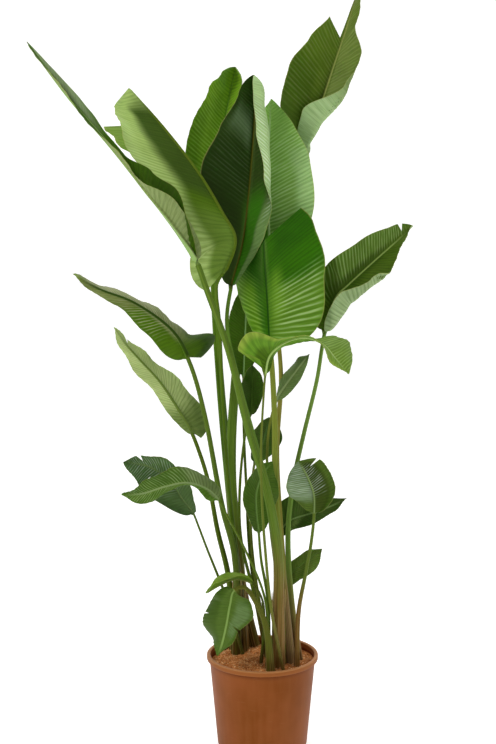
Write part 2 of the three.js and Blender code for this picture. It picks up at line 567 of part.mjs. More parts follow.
// ---------------------------------------------------------------- coir
// Its top is heaped towards the middle and lumpy, and every stalk and sheath stands in a hole in it.
function coirHeight(radius, angle) {
  const heap = -SOIL.crown * (radius / POT.mouthRadius) ** 2;
  const lumps = Math.sin(3 * angle + radius / 21) * Math.sin(radius / 17 + 1.3 * angle);
  const crumbs = 0.5 * Math.cos(7 * angle - radius / 9);
  return SOIL.level + heap + SOIL.lump * (lumps + crumbs);
}
function soilGeometry() {
  const off = POT.wall + SOIL.wallGap;
  const slope = (POT.mouthRadius - POT.footRadius) / (LIP_BOTTOM - POT.footHeight);
  const edge = POT.mouthRadius - off - slope * (LIP_BOTTOM - SOIL.level + SOIL.lump);
  const profile = [
    [0, off],
    [BAND - off, off],
    [BAND - off, POT.footHeight - POT.footInset],
    [POT.footRadius - off, POT.footHeight + CLEARANCE],
  ];
  for (let i = SOIL.rings; i >= 0; i--) profile.push([(edge * i) / SOIL.rings, SOIL.level]);
  const block = turned(profile, SOIL.sides);
  const place = block.attributes.position;
  for (let i = 0; i < place.count; i++) {
    const [x, y, z] = [place.getX(i), place.getY(i), place.getZ(i)];
    if (z > SOIL.level - CLEARANCE) place.setZ(i, coirHeight(Math.hypot(x, y), Math.atan2(y, x)));
  }
  let soil = solid(block);
  for (const leaf of Object.values(LEAVES)) soil = soil.subtract(stalkRoom(leaf));
  for (const sheath of Object.values(SHEATHS)) soil = soil.subtract(solid(sheathGeometry(sheath, CLEARANCE)));
  return geometryOf(soil);
}

// ---------------------------------------------------------------- assembly
const plant = new THREE.Group();
function addPiece(name, geometry, color, roughness) {
  const faceted = geometry.toNonIndexed();
  faceted.computeVertexNormals();
  const mesh = new THREE.Mesh(faceted, new THREE.MeshStandardMaterial({ color, roughness, metalness: 0 }));
  mesh.name = name;
  plant.add(mesh);
}
addPiece("pot", potGeometry(), 0x8f5532, 0.55);
addPiece("soil", soilGeometry(), 0xa8623a, 0.95);
for (const [name, leaf] of Object.entries(LEAVES)) addPiece(name, leafGeometry(leaf), leaf.colour, 0.4);
for (const [name, sheath] of Object.entries(SHEATHS)) {
  let shell = solid(sheathGeometry(sheath, 0));
  for (const leaf of Object.values(LEAVES)) shell = shell.subtract(stalkRoom(leaf));
  addPiece(name, geometryOf(shell), sheath.colour, 0.8);
}

export default plant;
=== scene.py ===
# %% [markdown]
# # A potted giant bird of paradise
# This lesson dresses a plain solid model of a tall house plant. The solid model has the pot, the coir and
# every leaf at its real size, and it is the frame: nothing here moves or resizes it. Each plain solid is
# replaced by a finer piece in the same place, and each piece gets a finish of its own.

import math

import bpy
import numpy as np
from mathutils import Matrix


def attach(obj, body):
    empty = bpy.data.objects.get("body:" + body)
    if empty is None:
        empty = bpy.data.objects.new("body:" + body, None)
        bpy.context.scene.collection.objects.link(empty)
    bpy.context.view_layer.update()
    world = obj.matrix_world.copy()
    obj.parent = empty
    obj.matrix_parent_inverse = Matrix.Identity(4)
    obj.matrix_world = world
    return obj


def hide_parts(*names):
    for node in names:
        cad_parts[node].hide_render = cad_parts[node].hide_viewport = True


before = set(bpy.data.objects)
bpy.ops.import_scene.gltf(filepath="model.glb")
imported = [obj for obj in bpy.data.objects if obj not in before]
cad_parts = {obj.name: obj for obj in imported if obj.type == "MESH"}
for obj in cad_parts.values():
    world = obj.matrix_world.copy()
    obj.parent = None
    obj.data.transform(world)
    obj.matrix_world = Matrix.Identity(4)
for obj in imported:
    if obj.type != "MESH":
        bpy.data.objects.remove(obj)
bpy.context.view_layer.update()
MM = 0.001
BODY = "root"

# %% [markdown]
# ## The camera
# The plant was photographed with a long lens from about three metres away and a little above its middle, so
# the rim of the pot shows as a flat ellipse and the leaves at the top are seen almost level.

# %% Camera
FRAME_HEIGHT = 744  # the picture is 496 by 744
FOCAL_PIXELS = 1278
SENSOR = 36
CAMERA_PLACE = (-0.035, -3.0, 1.30)
CAMERA_TILT = 82.9  # degrees, where 90 is level
camera_data = bpy.data.cameras.new("camera")
camera_data.sensor_width = SENSOR
camera_data.lens = SENSOR * FOCAL_PIXELS / FRAME_HEIGHT
camera = bpy.data.objects.new("camera", camera_data)
camera.location = CAMERA_PLACE
camera.rotation_euler = (math.radians(CAMERA_TILT), 0, 0)
bpy.context.scene.collection.objects.link(camera)
bpy.context.scene.camera = camera
print("lens in millimetres:", round(camera_data.lens, 1))

# %% [markdown]
# ## Maths on node sockets
# A finish is a sum of masks and stripes, which reads best as a formula. A small class wraps a socket, and
# its operators add the Math nodes. It serves shader trees and geometry trees alike.


# %% A socket that can be added and multiplied
def operator(operation, flipped=False):
    """The method of a wire that stands for one of Python's operators."""
    return lambda self, other: self.maths(operation, other, flipped=flipped)


class Wire:
    """One output of a node, in the tree that it belongs to."""

    def __init__(self, bench, socket):
        self.bench = bench
        self.socket = socket

    def maths(self, operation, *others, flipped=False):
        values = [self, *others]
        if flipped:
            values.reverse()
        return self.bench.wire("ShaderNodeMath", dict(enumerate(values)), operation=operation)

    __add__ = __radd__ = operator("ADD")
    __mul__ = __rmul__ = operator("MULTIPLY")
    __sub__ = operator("SUBTRACT")
    __rsub__ = operator("SUBTRACT", flipped=True)
    __truediv__ = operator("DIVIDE")
    __rtruediv__ = operator("DIVIDE", flipped=True)

    def sine(self):
        return self.maths("SINE")

    def size(self):
        return self.maths("ABSOLUTE")

    def ramp(self, low, high):
        """0 below low and 1 above high, with a smooth climb between them. It falls if low is above high."""
        values = {"Value": self, "From Min": low, "From Max": high}
        return self.bench.wire("ShaderNodeMapRange", values, interpolation_type="SMOOTHSTEP")


# %% A bench to put nodes on
class Bench:
    """A node tree that is being built."""

    def __init__(self, tree):
        self.tree = tree

    def give(self, socket, value):
        """Links a wire to a socket, or sets the socket to a plain value."""
        if isinstance(value, Wire):
            self.tree.links.new(value.socket, socket)
        else:
            socket.default_value = value

    def node(self, kind, values=None, **settings):
        """Adds a node: its settings first, then a value or a wire for each socket, by name or number."""
        node = self.tree.nodes.new(kind)
        for key, value in settings.items():
            setattr(node, key, value)
        for key, value in (values or {}).items():
            self.give(node.inputs[key], value)
        return node

    def wire(self, kind, values=None, output=0, **settings):
        """Adds a node and gives one of its outputs."""
        return Wire(self, self.node(kind, values, **settings).outputs[output])

    def point(self, x, y, z=0.0):
        return self.wire("ShaderNodeCombineXYZ", {0: x, 1: y, 2: z})

    def parts(self, point):
        """The x, y and z of a point."""
        return [Wire(self, output) for output in self.node("ShaderNodeSeparateXYZ", {0: point}).outputs]

    def noise(self, place, scale, detail=2.0):
        return self.wire("ShaderNodeTexNoise", {"Vector": place, "Scale": scale, "Detail": detail})

    def streaks(self, x, y, z=0.0, detail=2.0):
        """Noise that is drawn out along whichever of the three numbers changes most slowly."""
        return self.noise(self.point(x, y, z), 1.0, detail)


# %% [markdown]
# ## Finishes
# Colours are written as they look on a screen and turned into light. A white room lays a faint veil of its
# own light on everything in it, so that much is taken off each colour first. Every finish starts from the
# same shader, and only colour, roughness and the fine relief change from place to place.


# %% Colours and a finish
VEIL = 0.012
DARKEST = 0.001


def light_of(hex_colour, veil=VEIL):
    """The linear colour of a screen colour such as #8f5532, less the white room's veil."""
    channels = [int(hex_colour[i : i + 2], 16) / 255 for i in (1, 3, 5)]
    linear = [c / 12.92 if c <= 0.04045 else ((c + 0.055) / 1.055) ** 2.4 for c in channels]
    return (*(max(c - veil, DARKEST) for c in linear), 1.0)


class Finish(Bench):
    """A material that is being made, with its shader."""

    def __init__(self, name):
        self.material = bpy.data.materials.new(name)
        self.material.use_nodes = True
        super().__init__(self.material.node_tree)
        self.shader = self.tree.nodes["Principled BSDF"]

    def attributes(self, *names):
        return [self.wire("ShaderNodeAttribute", output=2, attribute_name=name) for name in names]

    def place(self):
        return self.wire("ShaderNodeTexCoord", output=3)

    def blend(self, factor, a, b, how="MIX"):
        """Colour a where the factor is 0 and b where it is 1."""
        a, b = (light_of(c) if isinstance(c, str) else c for c in (a, b))
        values = {0: factor, 6: a, 7: b}
        return self.wire("ShaderNodeMix", values, output=2, data_type="RGBA", blend_type=how)

    def layers(self, base, *coats, how="MIX"):
        """Lays coats over a base colour in turn. A coat is its mask and its colour."""
        for mask, colour in coats:
            base = self.blend(mask, base, colour, how)
        return base

    def set(self, **sockets):
        """Links or sets sockets of the shader, with _ for a space in their names."""
        for key, value in sockets.items():
            self.give(self.shader.inputs[key.replace("_", " ")], value)

    def relief(self, height, depth, strength=1.0):
        """A fine relief from a height between 0 and 1, which is depth deep in metres."""
        values = {"Height": height, "Distance": depth, "Strength": strength}
        self.set(Normal=self.wire("ShaderNodeBump", values))


# %% [markdown]
# ## Meshes and geometry trees
# Pieces are grids of points worked out with formulas. What repeats on them, or follows their surface, is
# left to Geometry Nodes: a tree has named inputs, runs once, and its result is kept as a plain mesh.


# %% Meshes from points and faces
def add_piece(name, points, faces, attributes=None, sharp=50):
    """A smooth mesh object from an array of points in metres and a list of faces."""
    mesh = bpy.data.meshes.new(name)
    mesh.from_pydata(np.asarray(points).tolist(), [], faces)
    for key, values in (attributes or {}).items():
        values = np.asarray(values, np.float32)
        kind, field = ("FLOAT_VECTOR", "vector") if values.ndim == 2 else ("FLOAT", "value")
        mesh.attributes.new(key, kind, "POINT").data.foreach_set(field, values.ravel())
    mesh.polygons.foreach_set("use_smooth", np.ones(len(mesh.polygons), bool))
    mesh.set_sharp_from_angle(angle=math.radians(sharp))
    piece = bpy.data.objects.new(name, mesh)
    bpy.context.scene.collection.objects.link(piece)
    return piece


def ring_faces(rings, per_ring):
    """Faces between closed rings of points that follow each other."""
    faces = []
    for start in range(0, (rings - 1) * per_ring, per_ring):
        for j in range(per_ring):
            a, b = start + j, start + (j + 1) % per_ring
            faces.append((a, b, b + per_ring, a + per_ring))
    return faces


def keep_piece(piece, node):
    """Makes the finished piece move with the plant and hides the plain solid of the node that it stands for.
    """
    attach(piece, BODY)
    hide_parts(node)
    print(piece.name, "faces:", len(piece.data.polygons))


# %% Geometry trees
class GeometryTree(Bench):
    """A geometry tree with a mesh, a finish and named sizes as its inputs."""

    def __init__(self, name, **sizes):
        super().__init__(bpy.data.node_groups.new(name, "GeometryNodeTree"))
        face = self.tree.interface
        face.new_socket("Geometry", in_out="INPUT", socket_type="NodeSocketGeometry")
        face.new_socket("Geometry", in_out="OUTPUT", socket_type="NodeSocketGeometry")
        face.new_socket("Finish", in_out="INPUT", socket_type="NodeSocketMaterial")
        for key, value in sizes.items():
            kind = "NodeSocketInt" if isinstance(value, int) else "NodeSocketFloat"
            socket = face.new_socket(key.replace("_", " "), in_out="INPUT", socket_type=kind)
            socket.default_value = value
        self.inputs = self.tree.nodes.new("NodeGroupInput").outputs

    def given(self, name):
        return Wire(self, self.inputs[name])

    def stored(self, name, kind="FLOAT"):
        return self.wire("GeometryNodeInputNamedAttribute", {"Name": name}, data_type=kind)

    def scaled(self, vector, factor):
        return self.wire("ShaderNodeVectorMath", {0: vector, "Scale": factor}, operation="SCALE")

    def finish(self, geometry):
        """Ends the tree: instances become real and take the finish."""
        real = self.wire("GeometryNodeRealizeInstances", {0: geometry})
        dressed = self.wire("GeometryNodeSetMaterial", {0: real, "Material": self.given("Finish")})
        self.node("NodeGroupOutput", {0: dressed})
        return self

    def run(self, piece, **settings):
        """Runs the tree on a piece and leaves its result as the piece's plain mesh."""
        modifier = piece.modifiers.new(self.tree.name, "NODES")
        modifier.node_group = self.tree
        for item in self.tree.interface.items_tree:
            key = item.name.replace(" ", "_")
            if item.in_out == "INPUT" and key in settings:
                modifier[item.identifier] = settings[key]
        graph = bpy.context.evaluated_depsgraph_get()
        made = bpy.data.meshes.new_from_object(piece.evaluated_get(graph), depsgraph=graph)
        piece.modifiers.clear()
        piece.data = made


# %% [markdown]
# ## The studio
# The plant stands on a white sweep of paper that rises behind it, under one large soft lamp on the left, a
# weaker one on the right, one overhead and a bright room. Seen directly, the room is plain white.


# %% Studio
PAPER = dict(half_width=7.0, front=-6.0, back=4.0, bend=2.0, top=7.0)  # in metres
ROOM_LIGHT = 0.36
PAPER_GLOW = 0.45
LAMPS = {  # place, turn in degrees, size and power
    "lamp_left": ((-2.4, -2.2, 3.2), (47, 0, -45), 1.2, 62),
    "lamp_right": ((2.8, -0.6, 1.8), (78, 0, 75), 1.4, 16),
    "lamp_top": ((0.2, 1.2, 3.8), (-20, 0, 0), 1.8, 40),
}


def paper_sweep(half_width, front, back, bend, top):
    """Floor and backdrop in one sheet, with a wide bend between them."""
    angles = np.radians(np.linspace(-90, 0, 13))
    curve = [(back + bend * math.cos(a), bend + bend * math.sin(a)) for a in angles]
    profile = [(front, 0.0), *curve, (back + bend, top)]
    points = [(x, y, z) for y, z in profile for x in (-half_width, half_width)]
    faces = [(i, i + 1, i + 3, i + 2) for i in range(0, len(points) - 2, 2)]
    return add_piece("paper_sweep", points, faces)


paper = Finish("paper")
paper.set(Base_Color=light_of("#fbfbfa", 0), Roughness=0.9)
paper.set(Emission_Color=(1, 1, 1, 1), Emission_Strength=PAPER_GLOW)
sweep = paper_sweep(**PAPER)
sweep.data.materials.append(paper.material)
for name, (place, turn, size, power) in LAMPS.items():
    data = bpy.data.lights.new(name, "AREA")
    data.shape = "DISK"
    data.size = size
    data.energy = power
    lamp = bpy.data.objects.new(name, data)
    lamp.location = place
    lamp.rotation_euler = [math.radians(a) for a in turn]
    bpy.context.scene.collection.objects.link(lamp)
world = bpy.data.worlds.new("white_room")
world.use_nodes = True
background = world.node_tree.nodes["Background"].inputs
background["Color"].default_value = (1, 1, 1, 1)
room = Bench(world.node_tree)
seen_directly = room.wire("ShaderNodeLightPath")
room.give(background["Strength"], seen_directly * (1 - ROOM_LIGHT) + ROOM_LIGHT)
bpy.context.scene.world = world
bpy.context.scene.view_settings.view_transform = "Standard"
print("lamps:", len(LAMPS))

# %% [markdown]
# ## The pot
# The real pot is moulded from brown plastic: a slightly tapered wall, a rolled rim, and a narrower foot with
# drain slots. A shape that is round about an axis is an outline turned round that axis, which gives clean
# rings of faces.

# %% Sizes of the pot and the coir
POT_TOP = 238 * MM
RIM_RADIUS = 135 * MM
LIP_DEPTH = 12 * MM
MOUTH_RADIUS = 128 * MM
FOOT_RADIUS = 109 * MM
FOOT_HEIGHT = 17 * MM
FOOT_INSET = 5 * MM
LIP_ROLL = 2.6 * MM
POT_WALL = 2.2 * MM
POT_EDGE = 1.5 * MM  # round edges of the wall
FOOT_EDGE = 1 * MM
SLOTS = 10
SLOT_WIDTH, SLOT_REACH, SLOT_HEIGHT = 24 * MM, 30 * MM, 7 * MM
POT_SIDES = 160
LIP_BOTTOM = POT_TOP - LIP_DEPTH
BAND = FOOT_RADIUS - FOOT_INSET
SOIL_LEVEL = 224 * MM
SOIL_CROWN = 6 * MM
SOIL_LUMP = 3 * MM


# %% A turned shape
def turned(name, outline, sides):
    """A closed mesh from an outline of radius and height that starts and ends on the axis."""
    angles = 2 * math.pi * np.arange(sides) / sides
    across, deep = np.cos(angles), np.sin(angles)
    rings = [np.stack([r * across, r * deep, np.full(sides, z)], axis=1) for r, z in outline]
    points = np.vstack([*rings[1:-1], rings[0][:1], rings[-1][:1]])
    faces = ring_faces(len(outline) - 2, sides)
    low, high = len(points) - 2, len(points) - 1
    last = low - sides
    for j in range(sides):
        k = (j + 1) % sides
        faces += [(low, k, j), (high, last + j, last + k)]
    return add_piece(name, points, faces, sharp=40)


def arc(centre_r, centre_z, radius, start, end, steps=6):
    """Points of radius and height on a round edge, from one angle in degrees to another."""
    angles = np.radians(np.linspace(start, end, steps))
    return [(centre_r + radius * math.cos(a), centre_z + radius * math.sin(a)) for a in angles]


pot_outline = [
    (0, 0),
    (BAND - 1.2 * FOOT_EDGE, 0),
    *arc(BAND - FOOT_EDGE, FOOT_EDGE, FOOT_EDGE, -90, 0),
    (BAND, FOOT_HEIGHT - FOOT_INSET),
    *arc(FOOT_RADIUS - POT_EDGE, FOOT_HEIGHT, POT_EDGE, -60, 0),
    (MOUTH_RADIUS, LIP_BOTTOM - POT_EDGE),
    *arc(MOUTH_RADIUS + POT_EDGE, LIP_BOTTOM - POT_EDGE, POT_EDGE, 180, 90, 4),
    *arc(RIM_RADIUS - LIP_ROLL, LIP_BOTTOM + LIP_ROLL, LIP_ROLL, -90, 0),
    *arc(RIM_RADIUS - LIP_ROLL, POT_TOP - LIP_ROLL, LIP_ROLL, 0, 90),
    *arc(MOUTH_RADIUS - POT_WALL + LIP_ROLL, POT_TOP - LIP_ROLL, LIP_ROLL, 90, 180),
    (MOUTH_RADIUS - POT_WALL, LIP_BOTTOM),
    (FOOT_RADIUS - POT_WALL, FOOT_HEIGHT),
    (BAND - POT_WALL, FOOT_HEIGHT - FOOT_INSET),
    (BAND - POT_WALL, POT_WALL),
    (0, POT_WALL),
]
pot = turned("pot_body", pot_outline, POT_SIDES)

# %% [markdown]
# Ten drain slots are cut through the foot. A tree places one cutter for each slot on a circle, turns it
# square to the wall and takes them all away at once, so that their number and their circle stay inputs.


# %% Drain slots
def drain_slots():
    tree = GeometryTree("drain_slots", Slots=10, Radius=0.1, Height=0.01)
    slots, radius, height = (tree.given(name) for name in ("Slots", "Radius", "Height"))
    circle = tree.wire("GeometryNodeMeshCircle", {"Vertices": slots, "Radius": radius})
    turn = tree.wire("GeometryNodeInputIndex") / slots * (2 * math.pi)
    cutter = tree.wire("GeometryNodeMeshCube", {"Size": (SLOT_REACH, SLOT_WIDTH, SLOT_HEIGHT)})
    values = {"Points": circle, "Instance": cutter, "Rotation": tree.point(0.0, 0.0, turn)}
    cutters = tree.wire("GeometryNodeInstanceOnPoints", values)
    half_step = tree.point(0.0, 0.0, math.pi / slots)
    values = {"Geometry": cutters, "Translation": tree.point(0.0, 0.0, height), "Rotation": half_step}
    raised = tree.wire("GeometryNodeTransform", values)
    values = {"Mesh 1": tree.given("Geometry"), "Mesh 2": raised}
    return tree.finish(tree.wire("GeometryNodeMeshBoolean", values, operation="DIFFERENCE"))


# %% [markdown]
# The plastic is matt and a little uneven: faint upright streaks from the mould and faint scuffs. Light and
# shade are painted in too: painted light on the lip, painted shade in a band under it, and a painted
# highlight on the rim's round top.


# %% Brown plastic
# painted shade in a band under the lip, and a painted highlight on the rim's round top
SHADE_UNDER_LIP = 14 * MM
LIT_RIM_TOP = (3.5 * MM, 0.8 * MM)  # below the top, where the painted highlight on the rim's top starts and where it is full
PLASTIC_SHEEN = (1.0, 0.7, 0.4, 1.0)


def brown_plastic():
    plastic = Finish("brown_plastic")
    x, y, z = plastic.parts(plastic.place())
    streaks = plastic.streaks(x * 60.0, y * 60.0, z * 4.0, 3.0)
    clouds = plastic.noise(plastic.place(), 9.0, 3.0)
    grain = plastic.noise(plastic.place(), 900.0)
    scuffs = plastic.streaks(x * 30.0, y * 30.0, z * 260.0, 4.0).ramp(0.62, 0.75)
    lip = z.ramp(LIP_BOTTOM - 0.5 * MM, LIP_BOTTOM + 0.5 * MM)
    shade_under_lip = z.ramp(LIP_BOTTOM - SHADE_UNDER_LIP, LIP_BOTTOM) * (1 - lip)
    lit_rim_top = z.ramp(*(POT_TOP - depth for depth in LIT_RIM_TOP))
    base = plastic.layers(
        plastic.blend(clouds.ramp(0.3, 0.7), "#7c431f", "#8a4d2a"),
        (streaks.ramp(0.35, 0.75) * 0.35, "#915834"),
        # painted light on the lip, painted shade under it and a painted highlight on the rim's top
        (lip * 0.5, "#a0653a"),
        (shade_under_lip * 0.45, "#55290f"),
        (lit_rim_top * 0.6, "#c08a5c"),
        (scuffs * 0.07, "#b58a6d"),
    )
    plastic.set(Base_Color=base, Roughness=0.5 + streaks * 0.12 + scuffs * 0.05)
    plastic.set(Specular_IOR_Level=0.25, Specular_Tint=PLASTIC_SHEEN)
    plastic.relief(grain + streaks * 0.6, 0.2 * MM, 0.5)
    return plastic.material


slot_level = 1.5 * POT_WALL + SLOT_HEIGHT / 2
drain_slots().run(pot, Finish=brown_plastic(), Slots=SLOTS, Radius=BAND, Height=slot_level)
keep_piece(pot, "pot")

# %% [markdown]
# ## The coir
# The pot is filled with coconut coir: an orange-brown heap of crumbs, chips and short fibres. The heap is a
# lumpy turned shape, and a tree scatters the loose bits over its top, where each one clears the pot's wall.


# %% The heap
SOIL_GAP = 0.6 * MM
SOIL_RINGS = 44
SOIL_SIDES = 150


def coir_height(radius, angle):
    """Height of the coir's lumpy top, at a distance and direction from the pot's axis."""
    r = radius / MM
    heap = -SOIL_CROWN * (radius / MOUTH_RADIUS) ** 2
    lumps = np.sin(3 * angle + r / 21) * np.sin(r / 17 + 1.3 * angle)
    crumbs = 0.5 * np.cos(7 * angle - r / 9)
    return SOIL_LEVEL + heap + SOIL_LUMP * (lumps + crumbs)


soil_inset = POT_WALL + SOIL_GAP
slope = (MOUTH_RADIUS - FOOT_RADIUS) / (LIP_BOTTOM - FOOT_HEIGHT)
soil_edge = MOUTH_RADIUS - soil_inset - slope * (LIP_BOTTOM - SOIL_LEVEL)
soil_outline = [
    (0, soil_inset),
    (BAND - soil_inset, soil_inset),
    (BAND - soil_inset, FOOT_HEIGHT - FOOT_INSET),
    (FOOT_RADIUS - soil_inset, FOOT_HEIGHT),
    *[(soil_edge * i / SOIL_RINGS, SOIL_LEVEL) for i in range(SOIL_RINGS, 0, -1)],
    (0, SOIL_LEVEL),
]
soil = turned("coir_heap", soil_outline, SOIL_SIDES)
for vertex in soil.data.vertices:
    x, y, z = vertex.co
    if z > SOIL_LEVEL - MM:
        vertex.co.z = coir_height(math.hypot(x, y), math.atan2(y, x))


# %% Loose bits on the coir
CRUMB_SIZE = 2.6 * MM
CRUMBS = 52000.0  # on each square metre
FIBRES = 16000.0
CRUMB_MARGIN = 4 * MM
FIBRE_MARGIN = 14 * MM
FIBRE_HALF = 9 * MM
FIBRE_BOW = (0, 4 * MM, 3.5 * MM)
FIBRE_RADIUS = 0.28 * MM


def coir_bits():
    """Crumbs and chips scattered on the top, and fibres between them."""
    tree = GeometryTree("coir_bits", Crumbs=1000.0, Fibres=1000.0, Crumb_size=0.004, Seed=1)
    top = tree.wire("GeometryNodeInputPosition")
    outward = tree.wire("GeometryNodeInputNormal")
    x, y, height = tree.parts(top)
    radius = (x * x + y * y).maths("SQRT")
    upward = tree.parts(outward)[2].maths("GREATER_THAN", 0.5)
    on_top = height.maths("GREATER_THAN", SOIL_LEVEL - SOIL_CROWN - 2 * SOIL_LUMP) * upward

    def scattered(density, extra_seed, margin):
        """Points on the top, no nearer than the margin to the pot's wall."""
        values = {
            "Mesh": tree.given("Geometry"),
            "Selection": on_top * radius.maths("LESS_THAN", soil_edge - margin),
            "Density": tree.given(density),
            "Seed": tree.given("Seed") + float(extra_seed),
        }
        return tree.wire("GeometryNodeDistributePointsOnFaces", values, distribute_method="RANDOM")

    def drawn(low, high, seed):
        """A number or vector for each bit, at random between two others."""
        first, kind = (0, "FLOAT_VECTOR") if isinstance(low, tuple) else (2, "FLOAT")
        values = {first: low, first + 1: high, "Seed": seed}
        return tree.wire("FunctionNodeRandomValue", values, output=first // 2, data_type=kind)

    def placed(points, shape, low, high, tilt, seed):
        """One shape on each point, tilted and sized at random, with a tone of its own."""
        turn = drawn((-tilt, -tilt, 0), (tilt, tilt, 2 * math.pi), seed)
        values = {"Points": points, "Instance": shape, "Rotation": turn, "Scale": drawn(low, high, seed + 1)}
        spread = tree.wire("GeometryNodeInstanceOnPoints", values)
        values = {"Geometry": spread, "Name": "tone", "Value": drawn(0.0, 1.0, seed + 2)}
        return tree.wire("GeometryNodeStoreNamedAttribute", values, data_type="FLOAT", domain="INSTANCE")

    ball = tree.wire("GeometryNodeMeshIcoSphere", {"Radius": tree.given("Crumb size"), "Subdivisions": 2})
    push = tree.scaled(outward, (tree.noise(top, 420.0, 1.0) - 0.5) * (4 * MM))
    crumb = tree.wire("GeometryNodeSetPosition", {0: ball, "Offset": push})
    spots = scattered("Crumbs", 0, CRUMB_MARGIN)
    crumbs = placed(spots, crumb, (0.35, 0.3, 0.2), (1.5, 0.8, 0.5), 0.5, 11)

    ends = {"Resolution": 6, "Start": (-FIBRE_HALF, 0, 0), "Middle": FIBRE_BOW, "End": (FIBRE_HALF, 0, 0)}
    bow = tree.wire("GeometryNodeCurveQuadraticBezier", ends)
    section = tree.wire("GeometryNodeCurvePrimitiveCircle", {"Resolution": 3, "Radius": FIBRE_RADIUS})
    values = {"Curve": bow, "Profile Curve": section, "Fill Caps": True}
    fibre = tree.wire("GeometryNodeCurveToMesh", values)
    spots = scattered("Fibres", 5, FIBRE_MARGIN)
    fibres = placed(spots, fibre, (0.4, -1.5, 0.2), (1.6, 1.5, 1.2), 0.35, 21)
    both = tree.node("GeometryNodeJoinGeometry")
    for part in (fibres, crumbs, tree.given("Geometry")):
        tree.give(both.inputs[0], part)
    return tree.finish(Wire(tree, both.outputs[0]))


# %% [markdown]
# Coir is dry and matt. Each crumb and fibre has a tone of its own, drawn by the tree, and between the bits
# the heap shows darker.


# %% Coir finish
def coir_finish():
    coir = Finish("coir")
    (tone,) = coir.attributes("tone")
    patches = coir.noise(coir.place(), 45.0, 4.0)
    grit = coir.noise(coir.place(), 420.0, 3.0)
    base = coir.layers(
        coir.blend(grit.ramp(0.3, 0.6), "#7c4420", "#d08850"),
        (tone.ramp(0.05, 0.5), "#dc965a"),
        (tone.ramp(0.55, 0.9) * 0.9, "#f8cc94"),
        (patches.ramp(0.5, 0.72) * 0.3, "#8a4c26"),
    )
    coir.set(Base_Color=base, Roughness=0.95, Specular_IOR_Level=0.15)
    coir.relief(grit + patches * 0.5, 1.2 * MM, 0.9)
    return coir.material


coir_bits().run(soil, Finish=coir_finish(), Crumbs=CRUMBS, Fibres=FIBRES, Crumb_size=CRUMB_SIZE, Seed=4)
keep_piece(soil, "soil")

# %% [markdown]
# ## The leaves
# A leaf of this plant is a long stalk that runs on as the midrib of a paddle-shaped blade. Its side veins
# leave the midrib nearly square and run straight to the margin, and the blade tears along them. So a blade
# is built the way it grew: a smooth line for the stalk and midrib, and a row of side veins along it, each
# of its own length, fold and curl. The table holds what differs from leaf to leaf, in millimetres and
# degrees, from the foot of the stalk to the tip.

# %% The leaf table
STALK_DEPTH = 195  # height of every stalk's foot, inside the coir
USUAL_WAVE = (3, 2)  # height of the margin's waves, and how many there are
